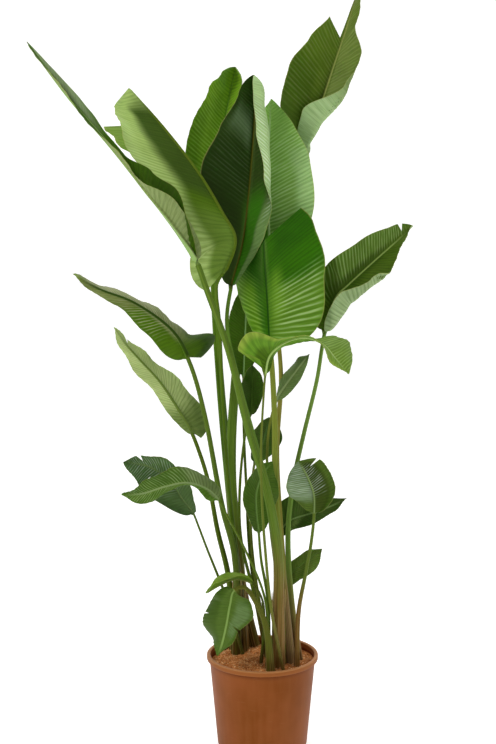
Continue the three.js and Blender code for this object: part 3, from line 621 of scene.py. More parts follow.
# foot: where the stalk starts, across and in depth. path: more points, up the stalk and along the midrib.
# base: which of them the blade starts at. stalk: half its thickness at the foot and at the neck. face: which
# way the upper side looks, at the blade's base and at its tip. lines: how many side veins the plain solid
# has. sweep: how far the veins lean towards the tip.
# These are pairs, for the left and the right half, and a list in one runs evenly from base to tip: width,
# fold (the angle at the midrib), curl (how far the half turns on its way out), curl_from (the share of the
# width where that begins), crease (the share that takes all of it) and lobes (how far the base's corners
# hang back). tears: the half, the place, the share that is left, the room beside the tear and, for a long
# one, where it ends.
LEAVES = {
    "far_left": dict(
        foot=(38, -42), base=7, stalk=(16, 6.5), face=((0.6, -0.6, 0.5), (0.6, -0.5, 0.6)), lines=12,
        path=[(38, -62, 390), (33, -92, 525), (5, -110, 680), (-35, -124, 815), (-80, -130, 995),
          (-130, -131, 1135), (-152, -130, 1195), (-190, -127, 1255), (-255, -118, 1340),
          (-335, -105, 1440), (-435, -90, 1555), (-530, -70, 1680)],
        width=([50, 46, 22, 22, 24, 26, 24], [30, 44, 62, 38, 12, 12, 20, 24, 24, 22, 20]),
        fold=([135, 100, 34, 28, 28, 28, 28], [40, 35, 40]), curl=([20, 20, 10, 10, 10], [75, 20, 15, 10]),
        sweep=0.06, wave=(4, 3),
    ),
    "left_folded": dict(
        foot=(-42, 60), base=6, stalk=(9, 4), face=((-1, -0.1, 0.2), (-0.7, 0.1, -0.6)), lines=11,
        path=[(-54, 70, 380), (-80, 58, 605), (-96, 38, 855), (-103, 12, 1045), (-108, -10, 1135),
          (-88, -18, 1170), (-66, -30, 1240), (-95, -40, 1300), (-145, -45, 1385), (-225, -50, 1490),
          (-305, -55, 1580)],
        width=([60, 80, 110, 170, 250, 250], [165, 125, 105, 112, 130, 300]),
        fold=([64, 60, 50, 44, 44], [64, 74, 84, 80]), curl=(5, [10, 30, 60, 80, 90]), sweep=0.3,
        lobes=(10, 65), wave=(4, 3), tears=[(0, 0.78, 0.15, 0.012, 1)],
    ),
    "upright_left": dict(
        foot=(-14, 104), base=5, stalk=(13, 8.5), face=((-0.2, -1, 0.1), (-0.1, -1, 0.2)), lines=10,
        path=[(-52, 124, 365), (-82, 128, 640), (-104, 126, 890), (-117, 121, 1115), (-115, 116, 1260),
          (-105, 115, 1400), (-90, 113, 1520), (-65, 108, 1645)],
        width=([70, 88, 90, 88, 86, 118, 320], [60, 70, 60, 60, 300]), fold=([20, 25, 30], [15, 20, 30]),
        curl=([20, 20, 40, 100], [10, 20, 40, 80]),
    ),
    "centre_dark": dict(
        foot=(46, -2), base=5, stalk=(9, 4.5), face=((0.1, -1, 0.1), (0, -1, 0.1)), lines=12,
        path=[(42, 8, 390), (5, 18, 660), (-52, 25, 880), (-85, 27, 1035), (-74, 26, 1130),
          (-50, 26, 1220), (-35, 28, 1330), (-25, 31, 1445), (-20, 36, 1540), (-22, 45, 1620)],
        width=([60, 110, 120, 95, 75, 110], [30, 54, 82, 96, 105, 260]), fold=([10, 10, 15], [10, 12, 15]),
        curl=([10, 10, 15], [150, 170, 170]), curl_from=(0, [1, 0.9, 0.5, 0.35, 0.3, 0.3]),
        crease=(1, 0.4), wave=(4, 2),
    ),
    "centre_back": dict(
        foot=(72, 10), base=6, stalk=(9, 4.5), face=((0.1, 1, 0.1), (0.3, 1, 0)), lines=10,
        path=[(57, 28, 360), (42, 45, 560), (35, 60, 730), (45, 70, 900), (36, 80, 1020), (20, 86, 1165),
          (15, 92, 1305), (15, 98, 1450), (20, 105, 1570)],
        width=([100, 114, 102, 86, 74], [60, 70, 60, 60, 60]), fold=(0, 10), curl=(10, [10, 15, 15]),
        wave=(4, 2),
    ),
    "top_right": dict(
        foot=(-46, 85), base=6, stalk=(13, 8.5), face=((0, -1, 0.3), (-0.1, -1, 0.2)), lines=12,
        path=[(-57, 94, 420), (-76, 98, 645), (-70, 112, 840), (-44, 134, 1040), (65, 150, 1320),
          (100, 160, 1435), (120, 165, 1500), (150, 165, 1585), (175, 165, 1660), (200, 160, 1735),
          (220, 155, 1800), (235, 155, 1840)],
        width=([60, 114, 106, 82, 64, 56, 50], [60, 92, 74, 64, 24, 34, 50]),
        fold=([15, 15, 20], [15, 20, 25]), curl=([10, 15, 20], 165),
        curl_from=(0, [0, 0.15, 0.68, 1, 1, 1, 1]), crease=(1, 0.3), wave=(5, 2),
        tears=[(0, 0.68, 0.15, 0.012, 1)],
    ),
    "centre_front": dict(
        foot=(70, -20), base=5, stalk=(11, 6), face=((0.1, -1, 0.2), (0, -1, 0.3)), lines=10,
        path=[(48, -21, 425), (31, -21, 620), (28, -19, 815), (21, -15, 945), (15, -12, 1005),
          (10, -6, 1095), (3, 18, 1210), (0, 55, 1335)],
        width=([85, 108, 95, 50], [190, 150, 124, 112, 100]), fold=([-25, -25, -20], [5, 5, 0]),
        curl=([-40, -40, -20], [-10, -15, -10]), sweep=0.3, lobes=(10, 20),
        tears=[(1, 0.69, 0.12, 0.012, 1)],
    ),
    "right": dict(
        foot=(94, -4), base=6, stalk=(7.5, 4.5), face=((-0.6, -0.9, 0.5), (-0.3, -0.7, 0.6)), lines=11,
        path=[(68, 4, 390), (62, 15, 545), (76, 25, 665), (100, 34, 775), (130, 42, 900), (150, 50, 1020),
          (175, 50, 1100), (205, 50, 1130), (265, 50, 1185), (320, 45, 1235), (355, 40, 1270)],
        width=([60, 74, 62, 60, 84], [110, 108, 84, 60, 26, 14]), fold=([20, 25, 25], [10, 10, 15]),
        curl=(20, 165), curl_from=(0, [0.4, 0.5, 0.68, 1, 1, 1]), crease=(1, 0.25), wave=(4, 3),
        tears=[(0, 0.9, 0.4, 0.02)],
    ),
    "front_drooping": dict(
        foot=(54, -66), base=6, stalk=(3.5, 2.5), face=((-0.3, 1, 0.3), (0.3, -0.7, 0.6)), lines=10,
        path=[(20, -94, 375), (5, -118, 525), (-3, -128, 645), (-5, -135, 775), (0, -130, 880),
          (5, -130, 940), (15, -125, 980), (50, -125, 1010), (95, -120, 1020), (135, -120, 1005),
          (165, -115, 970), (195, -110, 935)],
        width=([20, 12, 20, 84, 140, 200], [135, 110, 24, 14, 16, 20, 24, 24, 22, 22, 22]),
        fold=(5, [10, 5, 5]), curl=(-20, -20), lobes=(0, -35), wave=(5, 2),
    ),
    "mid_left": dict(
        foot=(-64, 48), base=5, stalk=(9, 5), face=((-0.4, 0.8, -0.4), (0, 0.8, -0.5)), lines=11,
        path=[(-66, 40, 460), (-98, 20, 600), (-135, 0, 810), (-160, -14, 915), (-180, -20, 970),
          (-200, -25, 1010), (-232, -28, 1045), (-305, -32, 1095), (-380, -37, 1125), (-440, -45, 1160)],
        width=([330, 70, 34, 40, 44, 46, 48, 52, 60, 62, 60], [75, 48, 22, 18, 14]),
        fold=([15, 20, 30], [20, 25, 30]), curl=([20, 40, 60, 60, 50], 20), lobes=(30, 8), wave=(4, 3),
    ),
    "lower_left": dict(
        foot=(-72, 76), base=5, stalk=(8, 4.5), face=((-0.4, 0.9, -0.2), (-0.2, 0.9, -0.4)), lines=10,
        path=[(-82, 70, 400), (-110, 60, 530), (-132, 46, 655), (-155, 34, 735), (-172, 27, 780),
          (-200, 21, 830), (-245, 19, 900), (-290, 21, 950), (-330, 25, 995), (-355, 30, 1030)],
        width=([110, 50, 28, 24, 20], [30, 30, 30, 25, 20]), fold=(10, 30), curl=([10, 15, 15], 20),
        lobes=(30, 8), wave=(4, 3), tears=[(0, 0.8, 0.45, 0.025)],
    ),
    "low_left_front": dict(
        foot=(10, -50), base=4, stalk=(3, 2.5), face=((0.2, -0.6, 0.8), (0, -0.7, 0.7)), lines=10,
        path=[(6, -92, 395), (-36, -118, 515), (-86, -126, 615), (-104, -122, 648), (-132, -119, 672),
          (-175, -115, 684), (-225, -110, 674), (-280, -105, 656), (-328, -100, 652)],
        width=([36, 8, 10, 30, 30, 20], [45, 50, 40, 22]), fold=([-10, -10, -5], 0),
        curl=([-60, -60, -30], -10), wave=(4, 3),
    ),
    "low_left_back": dict(
        foot=(-40, 34), base=4, stalk=(4, 2.5), face=((0.3, -0.5, -0.7), (0, -0.8, 0.4)), lines=9,
        path=[(-90, 20, 375), (-134, -18, 505), (-154, -33, 565), (-165, -40, 595), (-190, -44, 630),
          (-222, -50, 678), (-268, -47, 708), (-328, -50, 720)],
        width=([40, 60, 62, 50], [35, 42, 30, 25]), fold=(10, 10), curl=(20, 20), wave=(4, 3),
        tears=[(0, 0.6, 0.35, 0.03), (1, 0.75, 0.45, 0.03)],
    ),
    "inner_back": dict(
        foot=(12, 112), base=4, stalk=(4, 3), face=((0, -1, 0.1), (0, -1, 0.1)), lines=7,
        path=[(-28, 118, 435), (-40, 120, 640), (-46, 118, 790), (-46, 114, 905), (-42, 110, 1000),
          (-40, 106, 1060), (-35, 100, 1130)],
        width=([35, 45, 45, 30], [35, 45, 45, 30]), fold=(20, 20), curl=(10, 10),
    ),
    "inner_dark": dict(
        foot=(16, -4), base=5, stalk=(4, 3), face=((0.2, -1, 0.2), (0.2, -1, 0.1)), lines=6,
        path=[(-18, 34, 365), (-52, 46, 510), (-55, 52, 635), (-42, 58, 765), (-30, 62, 815),
          (-26, 66, 860), (-24, 66, 935)],
        width=([25, 35, 30], [25, 30, 25]), fold=(25, 25), curl=(10, 10), wave=(2, 2),
    ),
    "inner_right": dict(
        foot=(52, 26), base=4, stalk=(5, 3), face=((0.5, 0.8, -0.4), (0.4, 0.8, -0.4)), lines=7,
        path=[(36, 50, 405), (14, 56, 605), (15, 50, 775), (35, 42, 855), (60, 41, 895), (85, 40, 930),
          (112, 40, 965)],
        width=([22, 22, 16, 12], [25, 35, 30, 25]), fold=(15, 15), curl=(10, 20),
    ),
    "inner_low": dict(
        foot=(14, -28), base=3, stalk=(5, 3), face=((0.1, -1, 0.1), (0.2, -1, 0.3)), lines=8,
        path=[(12, -42, 385), (-4, -52, 485), (-10, -56, 555), (-15, -58, 600), (-15, -58, 650),
          (0, -58, 692), (22, -56, 722)],
        width=([25, 35, 35, 25], [35, 55, 50, 30]), fold=([20, 20, 15], [10, 5, 5]), curl=(10, -20),
    ),
    "inner_middle": dict(
        foot=(26, 18), base=4, stalk=(4, 3), face=((0.2, -1, 0.3), (0.2, -1, 0.2)), lines=6,
        path=[(-12, 64, 375), (-28, 72, 525), (-24, 76, 650), (-18, 80, 695), (0, 82, 740), (18, 82, 805)],
        width=([25, 35, 30], [30, 45, 35]), fold=(15, 10), curl=(10, 10), wave=(2, 2),
    ),
    "low_right_torn": dict(
        foot=(82, -44), base=4, stalk=(6, 3.5), face=((0, -1, 0.3), (0, -0.8, 0.6)), lines=8,
        path=[(86, -42, 355), (101, -46, 445), (115, -50, 530), (121, -52, 600), (119, -54, 645),
          (104, -54, 685), (84, -50, 722)],
        width=([40, 58, 60, 70], [50, 62, 62, 90]), fold=([10, 10, 5], [20, 15, 10]),
        curl=([-20, -20, -10], [60, 50, 30]), curl_from=(0, [0.4, 0.4]),
        tears=[(0, 0.72, 0.35, 0.03), (1, 0.78, 0.4, 0.03)],
    ),
    "low_right_back": dict(
        foot=(66, 44), base=3, stalk=(4, 2.5), face=((-0.3, -0.8, 0.5), (-0.2, -0.8, 0.5)), lines=8,
        path=[(47, 60, 355), (35, 68, 460), (42, 66, 515), (65, 60, 550), (120, 54, 572), (165, 48, 590),
          (205, 42, 612)],
        width=([60, 60, 25, 14], [30, 30, 20, 12]), fold=(10, [15, 10, 10]), curl=(10, [-20, -10, -10]),
    ),
    "small_right": dict(
        foot=(86, 26), base=2, stalk=(3.5, 2.5), face=((-0.3, -0.8, 0.6), (-0.2, -0.8, 0.6)), lines=6,
        path=[(67, 40, 335), (62, 46, 395), (75, 50, 425), (105, 55, 450), (148, 60, 482)],
        width=([28, 22, 16], [30, 35, 18]), fold=(10, 10), curl=(-10, [-30, -20, -10]),
    ),
    "base_curled": dict(
        foot=(-6, -26), base=3, stalk=(4, 2.5), face=((0.1, 0, 1), (-0.2, 0, 1)), lines=6,
        path=[(4, -42, 330), (-3, -58, 395), (-25, -66, 432), (-65, -72, 444), (-100, -79, 432),
          (-135, -82, 412)],
        width=([20, 25, 16], [20, 25, 16]), fold=([25, 25, 20], [25, 25, 20]), curl=(20, 20), wave=(2, 2),
    ),
    "base_front": dict(
        foot=(20, -78), base=4, stalk=(10, 5), face=((0, -0.7, 0.7), (-0.2, -1, 0.2)), lines=8,
        path=[(8, -90, 330), (-18, -102, 400), (-45, -110, 436), (-68, -115, 428), (-77, -118, 395),
          (-86, -120, 345), (-95, -119, 305), (-105, -116, 272)],
        width=([60, 66, 30, 22, 16], [62, 70, 70, 44, 22]), fold=(-10, -10),
        curl=([-30, -30, -20], [-35, -35, -20]), wave=(4, 2),
        tears=[(0, 0.45, 0.5, 0.012), (1, 0.34, 0.78, 0.012)],
    ),
}
print("leaves:", len(LEAVES))

# %% [markdown]
# ## From foot to tip
# The line of a stalk and midrib passes through a few points and stays smooth between them. Along it, every
# place has three directions: forward to the tip, up from the leaf's upper side, and out to its right side.
# Places on the stalk run from -1 at its foot to 0, and on the blade from 0 to 1 at the tip.


# %% Lines and lists
def smoothstep(x):
    x = np.clip(x, 0, 1)
    return x * x * (3 - 2 * x)


def mix(a, b, share):
    return a + (b - a) * share


def eased(values, t):
    """Where t lies in a list spread evenly from 0 to 1: which value it follows, and how far past it."""
    place = np.clip(t, 0, 1) * (len(values) - 1)
    i = np.minimum(place.astype(int), len(values) - 2)
    return i, place - i


def along(values, s):
    """Values from a list, or one value, that is spread evenly from the blade's base to its tip."""
    values = np.array(values if isinstance(values, list) else [values, values], float)
    i, past = eased(values, s)
    return mix(values[i], values[i + 1], smoothstep(past))


def smooth_line(path, t):
    """Points on the smooth line through a path, where t runs from 0 at its first point to 1 at its last."""
    points = np.vstack([2 * path[0] - path[1], path, 2 * path[-1] - path[-2]])
    i, past = eased(path, t)
    w = past[:, None]
    p0, p1, p2, p3 = (points[i + k] for k in range(4))
    steps = ((p0, p1), (p1, p2), (p2, p3))
    d0, d1, d2 = (np.sqrt(np.linalg.norm(b - a, axis=1))[:, None] for a, b in steps)
    lean1 = d1 * ((p1 - p0) / d0 - (p2 - p0) / (d0 + d1) + (p2 - p1) / d1)
    lean2 = d1 * ((p2 - p1) / d1 - (p3 - p1) / (d1 + d2) + (p3 - p2) / d2)
    square = 3 * (p2 - p1) - 2 * lean1 - lean2
    cube = 2 * (p1 - p2) + lean1 + lean2
    return p1 + w * (lean1 + w * (square + w * cube))


def unit(vectors):
    return vectors / np.linalg.norm(vectors, axis=-1, keepdims=True)


class Spine:
    """The line of a stalk and midrib, measured by its length."""

    STEPS = 400
    NUDGE = 1e-4

    def __init__(self, leaf):
        self.path = np.array([(*leaf["foot"], STALK_DEPTH), *leaf["path"]], float) * MM
        self.face = np.array(leaf["face"], float)
        self.t = np.linspace(0, 1, self.STEPS + 1)
        steps = np.linalg.norm(np.diff(smooth_line(self.path, self.t), axis=0), axis=1)
        self.reached = np.concatenate([[0], np.cumsum(steps)])
        self.length = self.reached[-1]
        base = round(self.STEPS * leaf["base"] / (len(self.path) - 1))
        self.start = self.reached[base] / self.length
        self.stalk_length = self.start * self.length
        self.blade_length = self.length - self.stalk_length

    def at(self, s):
        """Places and the three directions at s."""
        share = np.where(s < 0, self.start * (1 + s), mix(self.start, 1, s))
        inside = np.clip(share, 0, 1)
        t = np.interp(inside * self.length, self.reached, self.t)
        ahead = smooth_line(self.path, np.minimum(t + self.NUDGE, 1))
        behind = smooth_line(self.path, np.maximum(t - self.NUDGE, 0))
        forward = unit(ahead - behind)
        places = smooth_line(self.path, t) + forward * ((share - inside) * self.length)[:, None]
        up = mix(self.face[0], self.face[1], np.clip(s, 0, 1)[:, None])
        up = unit(up - forward * np.sum(up * forward, axis=1, keepdims=True))
        return places, forward, up, np.cross(forward, up)


# %% [markdown]
# ## The blade's section
# Across the blade, each half leaves the midrib at its fold angle and bends by its curl, evenly from the
# midrib or from where the table says, and over the whole half or only a crease. The margin waves a little.
# The blade is thickest at the midrib, which is a groove above and a round keel below.

# %% Sizes that all leaves share
BLADE = 1.1 * MM  # thickness beside the midrib
MARGIN = 0.7 * MM  # thickness at the margin
RIB_TIP = 1.2 * MM  # half the midrib's width at the tip
RIB_SHARE = 0.4  # the most of a narrow half that the midrib takes
KEEL = 1.6  # how deep the midrib is below the blade, in its half widths
GROOVE = 0.45  # how deep its groove is above
OUTLINE_LEAN = 0.75  # below 1, the widest place is nearer to the base
OUTLINE_POWERS = (0.42, 0.8)  # at the base and at the tip, where a lower one is blunter
VEIN_SWEEP = 0.14
FIRST_VEIN = 0.55  # from the base, in steps between veins
LOBE_POWER = 8  # how quickly the base's lobes end along the blade
CLASP = 1.3  # width of the stalk's foot, in thicknesses
NECK = 0.012  # length between the last stalk ring and the blade, as a share of the stalk
BLADE_END = 0.988  # where the last whole side vein leaves the midrib
TEAR_ROOM = 0.3  # between a tear and the next vein, in steps between veins
RIB_COLUMNS = 3
BLADE_COLUMNS = 13
LAST_COLUMN = 0.6  # how far the last column but one is drawn towards the margin
BLADE_STEP = 3.2 * MM
CLOSE_RINGS = (0.06, 0.15, 0.3, 0.55)  # rings inside the first and the last step
STALK_STEP = 14 * MM
WAVE_SHIFT = 0.3  # between the two margins, in waves
RIPPLE = 1.2 * MM
RIPPLE_RATES = (41, 67)
CHANNEL = 0.3  # depth of the stalk's channel, in half thicknesses
CHANNEL_ANGLE = 0.42  # half the channel's width, in radians


def outline(s):
    """How long the side veins at s are, as a share of the longest."""
    return np.sin(np.pi * s**OUTLINE_LEAN) ** mix(*OUTLINE_POWERS, s)


def section(leaf, side, s, d, width):
    """How far out and up the blade is at d from the midrib, and how far it has turned there."""
    fold, curl = (np.radians(along(leaf[key][side], s))[:, None] for key in ("fold", "curl"))
    start = along(leaf["curl_from"][side], s)[:, None] if "curl_from" in leaf else 0
    bend = width * (leaf["crease"][side] if "crease" in leaf else 1 - start)
    straight = np.minimum(d, start * width)
    bent = np.minimum(d - straight, bend)
    beyond = d - straight - bent
    turned_by = curl * bent / bend
    turn = fold + turned_by
    bends = np.abs(turned_by) > 1e-5
    safe = np.where(bends, turned_by, 1)
    arc_out = bent / safe * (np.sin(turn) - np.sin(fold))
    arc_up = bent / safe * (np.cos(fold) - np.cos(turn))
    out = np.cos(fold) * straight + np.where(bends, arc_out, np.cos(fold) * bent) + np.cos(turn) * beyond
    up = np.sin(fold) * straight + np.where(bends, arc_up, np.sin(fold) * bent) + np.sin(turn) * beyond
    height, waves = leaf.get("wave", USUAL_WAVE)
    first, second = RIPPLE_RATES
    s = s[:, None]
    share = d / width
    wave = height * MM * share**2 * np.sin(2 * np.pi * (waves * s + WAVE_SHIFT * side))
    wave += RIPPLE * share**4 * np.sin(first * s + 5 * side) * np.sin(second * s + 2)
    return out - wave * np.sin(turn), up + wave * np.cos(turn), turn


# %% [markdown]
# A tear cuts the side veins at one place short, or all of them from that place up to another. What is left
# of the veins is a line through the same places as on the plain solid, so both have the same outline.


# %% Veins and tears
def vein_lengths(leaf):
    """Places along the blade, and the share of either half's width that is left there."""
    whole = (1, 1)
    lines = [((i + FIRST_VEIN) / leaf["lines"], whole) for i in range(leaf["lines"])]
    ends = [(1 - BLADE_END, whole), (BLADE_END, whole)]
    for side, s, keep, gap, *until in leaf.get("tears", ()):
        until = until[0] if until else s
        room = gap + TEAR_ROOM / leaf["lines"]
        cut = (keep, 1) if side == 0 else (1, keep)
        lines = [(p, k) for p, k in lines if abs(p - s) > room and abs(p - until) > room]
        lines = [(p, cut if s < p < until else k) for p, k in lines]
        lines += [(s - gap, whole), (s, cut)]
        if s < until < 1:
            lines.append((until, cut))
        if until < 1:
            lines.append((until + gap, whole))
        else:
            ends[1] = (BLADE_END, cut)
    lines = sorted(lines + ends, key=lambda line: line[0])
    return [p for p, _ in lines], [k[0] for _, k in lines], [k[1] for _, k in lines]


def blade_places(spine, cuts):
    """Places for the blade's rings: even, closer at the round base and the tip, and one at every cut."""
    even = np.linspace(0, 1, round(spine.blade_length / BLADE_STEP) + 1)[1:-1]
    close = even[0] * np.array(CLOSE_RINGS)
    places = np.unique(np.concatenate([close, even, 1 - close[1:], cuts]))
    return places[np.diff(places, prepend=-1) > 1e-4]


# %% [markdown]
# ## The mesh of a leaf
# Each ring of points runs over the upper face from the left margin to the right one and back underneath.
# Stalk rings have the same number of points, so one skin runs from the buried foot to the tip. Every point
# also remembers where it is on the leaf, which its finish and its side veins are drawn from.


# %% Rings
def ring_values(points, s, length, **values):
    """Rings of points and what each point remembers, with its place on the leaf and its run in metres."""
    values |= {"place": s[:, None], "run": (s * length)[:, None]}
    shape = points.shape[:2]
    return {"points": points} | {k: np.broadcast_to(v, shape + np.shape(v)[2:]) for k, v in values.items()}


def half_blade(leaf, spine, s, side, keep):
    """Rows of one half of the blade, from the midrib to the margin."""
    sign = (-1, 1)[side]
    full = np.maximum(along(leaf["width"][side], s) * MM * outline(s), MM)[:, None]
    width = full * keep[:, None]
    rib = np.minimum(mix(leaf["stalk"][1] * MM, RIB_TIP, np.sqrt(s))[:, None], RIB_SHARE * width)
    inner = np.linspace(0, 1, RIB_COLUMNS + 1)[:-1]
    outer = np.linspace(0, 1, BLADE_COLUMNS + 1)
    outer[-2] = mix(outer[-2], 1, LAST_COLUMN)
    d = np.hstack([rib * inner, rib + (width - rib) * outer])
    t = d / width
    sweep = leaf.get("sweep", VEIN_SWEEP) * (np.sin(np.pi * s) * keep)[:, None] * t
    lobe = leaf.get("lobes", (0, 0))[side] * MM * ((1 - s) ** LOBE_POWER)[:, None] * t
    out, up, turn = section(leaf, side, s, d, full)
    frames = spine.at((s[:, None] + sweep).ravel())
    places, forward, above, aside = (v.reshape(*d.shape, 3) for v in frames)
    middle = places - forward * lobe[..., None] + aside * (sign * out)[..., None] + above * up[..., None]
    lift = above * np.cos(turn)[..., None] - aside * (sign * np.sin(turn))[..., None]
    lift[:, 0] = above[:, 0]
    hollow = 1 - np.clip(d / np.maximum(rib, 1e-6), 0, 1) ** 2
    half_thick = mix(BLADE, MARGIN, t)[..., None] / 2
    top = middle + lift * (half_thick - GROOVE * (rib * hollow)[..., None])
    under = middle - lift * (half_thick + KEEL * (rib * np.sqrt(hollow))[..., None])
    return dict(top=top, under=under, lift=lift, reach=sign * t, d=d)


def blade_rings(leaf, spine, s, keeps):
    left, right = (half_blade(leaf, spine, s, side, keeps[side]) for side in (0, 1))

    def both_faces(over, under):
        """Rows of the upper face, and of the lower face the other way round."""
        upper, lower = (np.hstack([left[key][:, ::-1], right[key][:, 1:]]) for key in (over, under))
        return np.hstack([upper, lower[:, ::-1]])

    points = both_faces("top", "under")
    return ring_values(
        points,
        s,
        spine.blade_length,
        lift=both_faces("lift", "lift"),
        reach=both_faces("reach", "reach"),
        rib_distance=both_faces("d", "d"),
        upper=np.repeat([1.0, 0.0], points.shape[1] // 2),
        stalk=0.0,
    )


def stalk_skin(leaf, spine, s, angles, grow=None):
    """Points on the stalk's skin, or off it by grow. It widens to a sheath at its foot.

    The upper side, at 90 degrees, has a shallow channel, which a grown skin passes over.
    """
    places, _, up, side = spine.at(s)
    rise = np.maximum(1 + s, 0)[:, None]
    thin = mix(*leaf["stalk"], np.sqrt(rise)) * MM
    wide = thin * mix(CLASP, 1, smoothstep(rise))
    if grow is None:
        groove = np.exp(-(((angles - math.pi / 2) / CHANNEL_ANGLE) ** 2))
        channel = 1 - CHANNEL * groove * smoothstep(1.5 * (1 + s))[:, None]
        grow = 0.0
    else:
        channel = 1
    aside = (wide + grow) * np.cos(angles)
    above = (thin + grow) * np.sin(angles) * channel
    return places[:, None] + side[:, None] * aside[..., None] + up[:, None] * above[..., None]


def stalk_rings(leaf, spine, per_ring):
    count = max(round(spine.stalk_length / STALK_STEP), 8)
    s = np.append(np.linspace(-1, 0, count + 1)[:-1], -NECK)
    turns = 1 - (2 * np.arange(per_ring) + 1) / per_ring
    points = stalk_skin(leaf, spine, s, math.pi * turns[None])
    lift = np.zeros_like(points)
    return ring_values(
        points, s, spine.stalk_length, lift=lift, reach=turns, rib_distance=0.0, upper=0.0, stalk=1.0
    )


def skin_piece(name, points, attributes):
    """A closed skin over rings of points, with a strip of faces at either end."""
    rings, per_ring = points.shape[:2]
    faces = ring_faces(rings, per_ring)
    last = (rings - 1) * per_ring
    for j in range(per_ring // 2 - 1):
        k = per_ring - 1 - j
        faces += [(j, k, k - 1, j + 1), (last + j, last + j + 1, last + k - 1, last + k)]
    return add_piece(name, points.reshape(-1, 3), faces, attributes)


def leaf_piece(name, leaf, spine):
    cuts, left, right = vein_lengths(leaf)
    s = blade_places(spine, cuts)
    blade = blade_rings(leaf, spine, s, [np.interp(s, cuts, left), np.interp(s, cuts, right)])
    stalk = stalk_rings(leaf, spine, blade["points"].shape[1])
    joined = {key: np.concatenate([stalk[key], blade[key]]) for key in blade}
    points = joined.pop("points")
    attributes = {key: v.reshape(-1, 3) if v.ndim == 3 else v.ravel() for key, v in joined.items()}
    return skin_piece("grown_leaf_" + name, points, attributes)


# %% [markdown]
# ## Side veins
# Close to, a blade is pleated: each side vein stands up a little from the blade, all the way to the margin.
# They repeat along the midrib at an even spacing, so a tree raises them from the leaf's own places. The
# inputs are their spacing and their height, and the height wanders from vein to vein.


# %% Pleats
def side_veins():
    tree = GeometryTree("side_veins", Vein_spacing=0.01, Vein_height=0.0005)
    run, stalk = tree.stored("run"), tree.stored("stalk")
    reach = tree.stored("reach").size()
    turns = run / tree.given("Vein spacing")
    wander = tree.streaks(turns * 0.37, reach * 0.8, 0.0, 1.0)
    wave = (turns * (2 * math.pi) + wander * 2.5).sine()
    height = wave * tree.given("Vein height") * wander.ramp(0.25, 0.75) * (1 - stalk)
    push = tree.scaled(tree.stored("lift", "FLOAT_VECTOR"), height * reach.ramp(0.04, 0.2))
    return tree.finish(tree.wire("GeometryNodeSetPosition", {0: tree.given("Geometry"), "Offset": push}))


# %% [markdown]
# ## The finish of a leaf
# The upper side is glossy and deep green, the underside matt and greyer. Stripes follow the side veins on
# both, a pale or dark line marks the midrib, a thin pale line of painted highlight runs along the margin,
# and the stalk turns from green to brown or purple towards its foot. One table holds the colours of each
# leaf. A second one paints broad patches on some blades: painted light where a blade is lit through or
# glossy, painted shade where it is shaded, and tones of its own; and glints, painted highlights where light
# glances off veins.

# %% Colours of the leaves
# upper side, underside, midrib, stalk at its neck, stalk at its foot
LOOKS = {
    "far_left": ("#466820", "#8a9a5c", "#8fae66", "#54722a", "#74502c"),
    "left_folded": ("#7d9a44", "#a2ba6c", "#5a6c24", "#4a6a18", "#5a4410"),
    "upright_left": ("#86ae36", "#7fa458", "#6f9a3c", "#4a7016", "#54400c"),
    "centre_dark": ("#273c02", "#b4d294", "#4a4a20", "#587e30", "#75623a"),
    "centre_back": ("#6a9046", "#8cb65e", "#a4c088", "#8c8640", "#7a5a40"),
    "top_right": ("#566c26", "#a8c48c", "#8a9450", "#5a7a2c", "#6a5a2a"),
    "centre_front": ("#3a7010", "#8fae66", "#224a04", "#7c8838", "#7c5f46"),
    "right": ("#4c6424", "#a2b888", "#8aa058", "#66883e", "#76583a"),
    "front_drooping": ("#7a9c3a", "#689430", "#a4c070", "#5c6a2c", "#5a5428"),
    "mid_left": ("#436418", "#4c6c18", "#2f4410", "#4f6a28", "#4a4c12"),
    "lower_left": ("#7d8e54", "#b2c080", "#64783a", "#4c641c", "#3c400c"),
    "low_left_front": ("#4f6e2c", "#76885a", "#7f9460", "#4a6420", "#3c420a"),
    "low_left_back": ("#4c6640", "#6c7052", "#60754a", "#46601e", "#3e430c"),
    "inner_back": ("#40601a", "#55704a", "#88a86a", "#4a6220", "#4a4c18"),
    "inner_dark": ("#304a1c", "#46603c", "#46602c", "#4a6220", "#5a4a20"),
    "inner_right": ("#5c7034", "#6c8050", "#7f9060", "#6a7430", "#6a522a"),
    "inner_low": ("#486428", "#5c7444", "#6a8848", "#557028", "#4a5018"),
    "inner_middle": ("#4c6430", "#56704a", "#4f6e3c", "#6c7a36", "#6a5a2a"),
    "low_right_torn": ("#50662c", "#7f9460", "#7f945c", "#556a2c", "#6c4628"),
    "low_right_back": ("#40562a", "#5a7044", "#6f8850", "#66702c", "#6a5230"),
    "small_right": ("#5f7434", "#6a8044", "#5f7a38", "#66702c", "#6a5a30"),
    "base_curled": ("#7f9c3c", "#66862e", "#8a9450", "#4a5a18", "#4a4a18"),
    "base_front": ("#50692e", "#5c7838", "#7f9a54", "#4c4e20", "#4a481c"),
}
